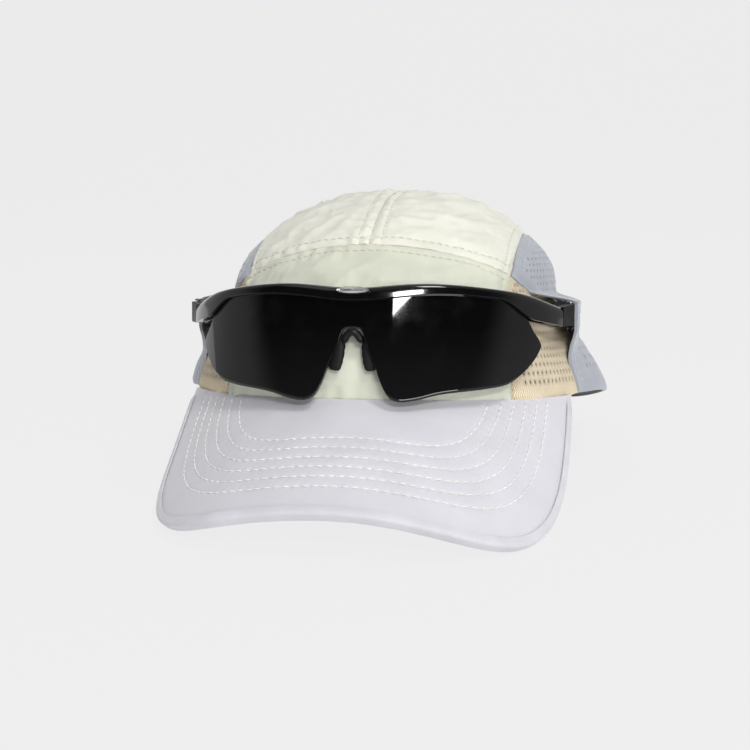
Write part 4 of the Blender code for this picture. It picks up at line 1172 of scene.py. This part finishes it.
def ribbon(name, path, thickness, ribs, look):
    """Woven band standing on edge along an XY path, with lengthwise ribs and round edges."""
    path = resample(curve_through(path, 6), 0.0006)
    along = unit(np.gradient(path, axis=0))
    side = np.stack([-along[:, 1], along[:, 0]], axis=1)
    across = np.linspace(-1.0, 1.0, 61)
    rib = 0.00006 * np.cos(across * np.pi * ribs)
    body = thickness / 2.0 * (1.0 - 0.45 * np.abs(across) ** 14) + rib - 0.00006
    z = STRAP_MID_Z + STRAP_HALF * across
    grids = []
    for sign in (1.0, -1.0):
        xy = path[:, None] + side[:, None] * (sign * body)[None, :, None]
        grids.append(np.concatenate([xy, np.broadcast_to(z[None, :, None], (*xy.shape[:2], 1))], axis=-1))
    return shell(name, grids[0], grids[1], [look]), arcs(path)[-1]


def make_strap():
    left = [(-x, y) for x, y in hem_path(143.0, 167.0, -STRAP_INSET, 9)]
    run = [(-0.0125, STRAP_FLAT_Y - 0.0008), (-0.0085, STRAP_FLAT_Y), (0.0005, STRAP_FLAT_Y),
           (0.0095, STRAP_FLAT_Y)]
    tail = [(0.0140, STRAP_FLAT_Y - 0.0006), (0.0185, STRAP_FLAT_Y - 0.0031)]
    tail += hem_path(163.0, 143.0, -STRAP_INSET - 0.0032, 7)
    strap, length = ribbon("back_strap_webbing", left + run + tail, WEB, 9, webbing)
    lay(strap, "back_strap", "webbing", (0.0140, round(length, 3)), rests_on=["buckle_frame"])
    bar_x, bar_y = TAB_BAR
    turn = BAR_RADIUS + 0.00035 + TAB_WEB / 2.0
    outer = hem_path(143.0, 161.0, -STRAP_INSET + 0.0001, 6) + [(0.0215, 0.1062), (0.0165, 0.1098)]
    loop = []
    for angle in np.linspace(75.0, 285.0, 15):
        loop.append((bar_x + turn * math.cos(rad(angle)), bar_y + turn * math.sin(rad(angle))))
    inner = [(0.0165, 0.1069), (0.0212, 0.1041)] + hem_path(161.0, 143.0, -STRAP_INSET - 0.0013, 6)
    tab, length = ribbon("strap_tab_webbing", outer + loop + inner, TAB_WEB, 9, webbing)
    lay(tab, "strap_tab", "webbing", (0.0140, round(length, 3)), "folded", ["buckle_frame"])


# ==== eyewear
def lens_at(u, h, out):
    """Point of the lens cylinder: u round it, h up it, out from its outer face."""
    angle = u / LENS_RADIUS
    radius = LENS_RADIUS + out
    return xyz(radius * np.sin(angle), LENS_RADIUS - radius * np.cos(angle), h)


def bar_top(u):
    return 0.0034 + 0.0026 * (1.0 - bell(u, 0.018)) - 0.0018 * smooth((np.abs(u) - 0.060) / 0.026)


def bar_bottom(u):
    return -0.0012 + 0.0038 * (1.0 - bell(u, 0.022)) - 0.0058 * smooth((np.abs(u) - 0.052) / 0.018)


def groove_roof(u):
    near_end = smooth((np.abs(u) - 0.074) / 0.004)
    return lerp(0.0010 + 0.0032 * (1.0 - bell(u, 0.022)), bar_bottom(u) + 0.0002, near_end)


def make_brow_frame():
    """Glossy bar with a rounded back and a groove that takes the lens."""
    stations = np.linspace(-BAR_END, BAR_END, 221)
    turn = np.linspace(0.0, np.pi, 25)
    rings = []
    for u in stations:
        top, low = bar_top(u), bar_bottom(u)
        spring = lerp(low, top, 0.30)
        out = (BAR_FRONT + BAR_BACK) / 2.0 + (BAR_FRONT - BAR_BACK) / 2.0 * rounder(np.cos(turn), BAR_ROUND)
        high = spring + (top - spring) * np.sin(turn) ** BAR_ROUND
        roof = groove_roof(u)
        behind = -LENS_THICK - LENS_GAP
        under = [(BAR_BACK, low), (behind, low), (behind, roof), (LENS_GAP, roof), (LENS_GAP, low),
                 (BAR_FRONT, low)]
        rings.append([lens_at(u, h, o) for o, h in [*zip(out, high), *under]])
    bar = lofted("brow_frame_bar", np.array(rings), [gloss_black], matrix=EYE, sharp=40.0)
    soften(bar, 0.0002, 2, 50.0)
    place(bar, "eyewear", ["brow_frame"], "gloss_black")


LENS_LOWER = [(0.0, -10.7), (3.0, -11.2), (4.2, -13.8), (6.0, -18.4), (7.7, -22.4), (8.7, -25.0),
              (10.4, -29.5), (12.5, -33.4), (14.6, -35.3), (17.6, -36.0), (23.5, -35.0), (32.0, -32.6),
              (47.0, -30.0), (57.0, -27.6), (63.5, -23.8), (69.3, -19.0), (73.0, -14.6), (74.6, -11.6)]
LENS_UPPER = [(0.0, 0.6), (5.0, 0.7), (10.0, 1.1), (18.0, 2.0), (24.0, 2.8), (30.0, 3.2), (45.0, 3.7),
              (60.0, 3.7), (63.5, 1.8), (66.0, -2.0), (69.3, -6.2), (73.0, -9.6), (74.6, -11.6)]


def outline_at(points, u):
    """Height on a smooth outline given by (distance, height) points in millimetres."""
    line = curve_through(points, 12) / 1000.0
    return np.interp(np.abs(u), line[:, 0], line[:, 1])


def make_shield_lens():
    half = graded(0.0, LENS_HALF, LENS_HALF, 0.0004, 0.0006, 0.006)
    u = np.concatenate([-half[:0:-1], half])
    low, top = outline_at(LENS_LOWER, u), outline_at(LENS_UPPER, u)
    top = np.maximum(top, low + 1e-5)
    share = np.concatenate([[0.0], np.linspace(0.012, 0.988, 44), [1.0]])
    h = lerp(low[:, None], top[:, None], share[None, :])
    u = u[:, None] + 0.0 * h
    edge = 0.0002 * (1.0 - smooth(np.minimum(h - low[:, None], top[:, None] - h) / 0.0003))
    outer = lens_at(u, h, -edge)
    inner = lens_at(u, h, -LENS_THICK + edge)
    flat = np.stack([u, h - LENS_MIDDLE], axis=-1)
    lens = shell("shield_lens_glass", outer, inner, [lens_look], cloth=flat, matrix=EYE, sharp=35.0)
    place(lens, "eyewear", ["shield_lens"], "smoke_lens")


def make_emblem():
    """Plain oval badge: a raised rim round a shallow dome."""
    half_w, half_h = 0.0058, 0.0012
    centre = bar_top(0.0) - 0.0013
    back = -BAR_FRONT - 0.0003
    profile = [(1.0, 0.0), (1.0, 0.00045), (0.97, 0.0006), (0.90, 0.0006), (0.86, 0.00042), (0.80, 0.00036),
               (0.55, 0.00050), (0.28, 0.00057), (0.02, 0.0006)]
    turn = circle(96)
    rings = []
    for share, rise in profile:
        shrink = (1.0 - share) * half_h
        rings.append(xyz((half_w - shrink) * np.cos(turn) if share > 0.7 else half_w * share * np.cos(turn),
                         back - rise, centre + half_h * share * np.sin(turn)))
    badge = lofted("brow_emblem_badge", np.array(rings), [badge_metal], matrix=EYE, sharp=45.0)
    place(badge, "eyewear", ["brow_emblem"], "badge_metal")


def make_nose_clip():
    """Arched clip in the lens notch; its section is a flattened round."""
    arc = 75.0
    angle = rad(np.linspace(-arc, arc, 49))
    x = 0.0030 * np.sin(angle) / math.sin(rad(arc))
    h = -0.01215 - 0.0047 * (1.0 - np.cos(angle))
    path = xyz(x, lerp(0.0005, 0.0020, smooth(np.abs(angle) / rad(arc))), h)
    along = unit(np.gradient(path, axis=0))
    first = unit(np.cross(along, np.array([0.0, 1.0, 0.0])))
    second = np.cross(along, first)
    turn = circle(20)
    ends = 0.55 + 0.45 * smooth(np.minimum(np.arange(49), 48 - np.arange(49)) / 4.0)
    radius = 0.0013 * ends[:, None, None]
    spokes = first[:, None] * np.cos(turn)[:, None] + second[:, None] * np.sin(turn)[:, None]
    clip = lofted("nose_bridge_clip", path[:, None] + spokes * radius, [satin_black], matrix=EYE)
    place(clip, "eyewear", ["nose_bridge"], "satin_black")


def make_nose_pads():
    """Soft wings with a flat inner face and shallow grip ribs."""
    for side, tag in SIDES:
        latitude = np.linspace(-np.pi / 2.0, np.pi / 2.0, 41)[1:-1]
        turn = circle(40)
        girth = np.abs(np.cos(latitude)) ** 0.42
        ribs = 1.0 - 0.05 * (np.sin(latitude * 14.0) > 0.2) * (np.abs(latitude) < 1.0)
        x = 0.0028 * (girth * ribs)[:, None] * rounder(np.cos(turn), 0.8)
        y = 0.0015 * girth[:, None] * rounder(np.sin(turn), 0.9)
        z = 0.0065 * np.sin(latitude)[:, None]
        turned = Matrix.Translation((side * 0.0058, 0.0038, -0.0188)) @ \
            Matrix.Rotation(rad(side * -6.0), 4, "Y") @ Matrix.Rotation(rad(side * 10.0), 4, "Z")
        pad = lofted("nose_pad_" + tag + "_wing", xyz(x, y, z), [pad_rubber], matrix=EYE @ turned)
        place(pad, "eyewear", ["nose_pad_" + tag], "pad_rubber")


# ==== carried-over CAD pieces
def dress(node, look, bevel, segments=2):
    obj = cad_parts[node]
    obj.data.materials.clear()
    obj.data.materials.append(look)
    if bevel:
        soften(obj, bevel, segments)


def dress_cad_pieces():
    for tag in ("left", "right"):
        dress("hinge_block_" + tag, satin_black, 0.0005, 3)
        dress("hinge_screw_" + tag, pin_steel, 0.0001)
        dress("temple_" + tag, gloss_black, 0.0004, 3)
        dress("temple_tip_" + tag, pad_rubber, 0.0005, 3)
    dress("buckle_frame", buckle_plastic, 0.0002)
    dress("cam_lever", buckle_plastic, 0.0002)
    dress("cam_pin", pin_steel, 0.0001)


# ==== stage, light and camera
CAMERA_TURN = (10.3, 8.17, -0.41)       # azimuth, elevation and roll
CAMERA_TARGET = (-0.01067, 0.0, 0.00537)
CAMERA_DISTANCE = 0.5074
SENSOR = 36.0                           # millimetres, as the focal length
FOCAL_LENGTH = 55.8192
SWEEP_FROM, SWEEP_RADIUS = 1.4, 1.2     # where the backdrop leaves the floor, and how widely it turns up


def make_backdrop():
    """Pale floor, and a card that sweeps up from it behind the object."""
    profile = []
    for angle in rad(np.linspace(0.0, 90.0, 24)):
        rise = SWEEP_RADIUS - SWEEP_RADIUS * math.cos(angle)
        profile.append((SWEEP_FROM + SWEEP_RADIUS * math.sin(angle), rise))
    profile.append((SWEEP_FROM + SWEEP_RADIUS, 6.0))
    points = [(x, y, z) for x in (-2.4, 1.8) for y, z in profile]
    points += [(-15.0, -15.0, 0.0), (15.0, -15.0, 0.0), (15.0, 15.0, 0.0), (-15.0, 15.0, 0.0)]
    count = len(profile)
    faces = [(k, k + 1, count + k + 1, count + k) for k in range(count - 1)]
    faces.append(tuple(range(2 * count, 2 * count + 4)))
    mesh = bpy.data.meshes.new("backdrop")
    mesh.from_pydata(points, [], faces)
    mesh.materials.append(backdrop_look())
    mesh.shade_smooth()
    in_scene("backdrop", mesh)


def area_light(name, location, target, size, energy, colour=(1.0, 1.0, 1.0)):
    lamp = bpy.data.lights.new(name, "AREA")
    lamp.shape = "RECTANGLE"
    lamp.size, lamp.size_y = size
    lamp.energy = energy
    lamp.color = colour
    obj = in_scene(name, lamp)
    obj.location = location
    obj.rotation_euler = (Vector(target) - Vector(location)).to_track_quat("-Z", "Y").to_euler()


def make_world():
    """Pale all round and above, dark in a band in front, where the lens looks."""
    world = bpy.data.worlds.new("studio")
    bpy.context.scene.world = world
    world.use_nodes = True
    nodes = Nodes(world.node_tree)
    direction = nodes.node("ShaderNodeTexCoord").outputs["Generated"]
    split = nodes.node("ShaderNodeSeparateXYZ", {0: direction}).outputs
    share = 1.0
    for axis, start, end in ((1, 0.15, -0.35), (2, 0.82, 0.60), (2, 0.16, 0.28)):
        limit = nodes.ramp(split[axis], start, end, interpolation_type="SMOOTHSTEP")
        share = nodes.times(limit, share)
    colour = nodes.mixed(share, (0.86, 0.86, 0.86, 1.0), (0.02, 0.02, 0.021, 1.0))
    set_inputs(world.node_tree, world.node_tree.nodes["Background"], {0: colour, 1: 0.46})


def make_lights():
    make_world()
    centre = (0.0, -0.02, 0.05)
    area_light("window", (0.50, -1.33, 0.806), (0.02, -0.08, 0.06), (0.44, 0.11), 9.0, (1.0, 0.99, 0.975))
    area_light("key", (0.70, -0.75, 1.42), centre, (0.40, 0.40), 9.5, (1.0, 0.99, 0.97))
    area_light("low_front", (0.85, -1.35, 0.22), centre, (1.0, 0.20), 6.5, (1.0, 1.0, 0.985))
    area_light("fill", (-0.75, -0.65, 1.45), centre, (0.9, 0.9), 1.5, (0.96, 0.975, 1.0))
    area_light("top", (-0.1, 0.5, 1.4), centre, (0.8, 0.8), 1.8)


def make_camera():
    """Camera fitted to the three-quarter front view, placed in the cap's frame."""
    azimuth, elevation, roll = map(rad, CAMERA_TURN)
    back = Vector((math.sin(azimuth) * math.cos(elevation), -math.cos(azimuth) * math.cos(elevation),
                   math.sin(elevation)))
    right = Vector((math.cos(azimuth), math.sin(azimuth), 0.0))
    up = back.cross(right)
    axis_x = right * math.cos(roll) + up * math.sin(roll)
    axis_y = up * math.cos(roll) - right * math.sin(roll)
    pose = Matrix((axis_x, axis_y, back)).transposed().to_4x4()
    pose.translation = Vector(CAMERA_TARGET) + back * CAMERA_DISTANCE
    camera = bpy.data.cameras.new("camera")
    camera.sensor_width = SENSOR
    camera.lens = FOCAL_LENGTH
    camera.clip_start = 0.01
    obj = in_scene("camera", camera)
    obj.matrix_world = STANCE @ pose
    bpy.context.scene.camera = obj


# ==== whole object
make_sweatband()
make_seam_tapes()
make_side_meshes()
make_side_panels()
make_front_panel()
make_crown_panels()
make_brim()
make_brim_binding()
make_strap()
make_brow_frame()
make_shield_lens()
make_emblem()
make_nose_clip()
make_nose_pads()
dress_cad_pieces()
make_backdrop()
make_lights()
make_camera()
bpy.context.scene.view_settings.view_transform = "Standard"
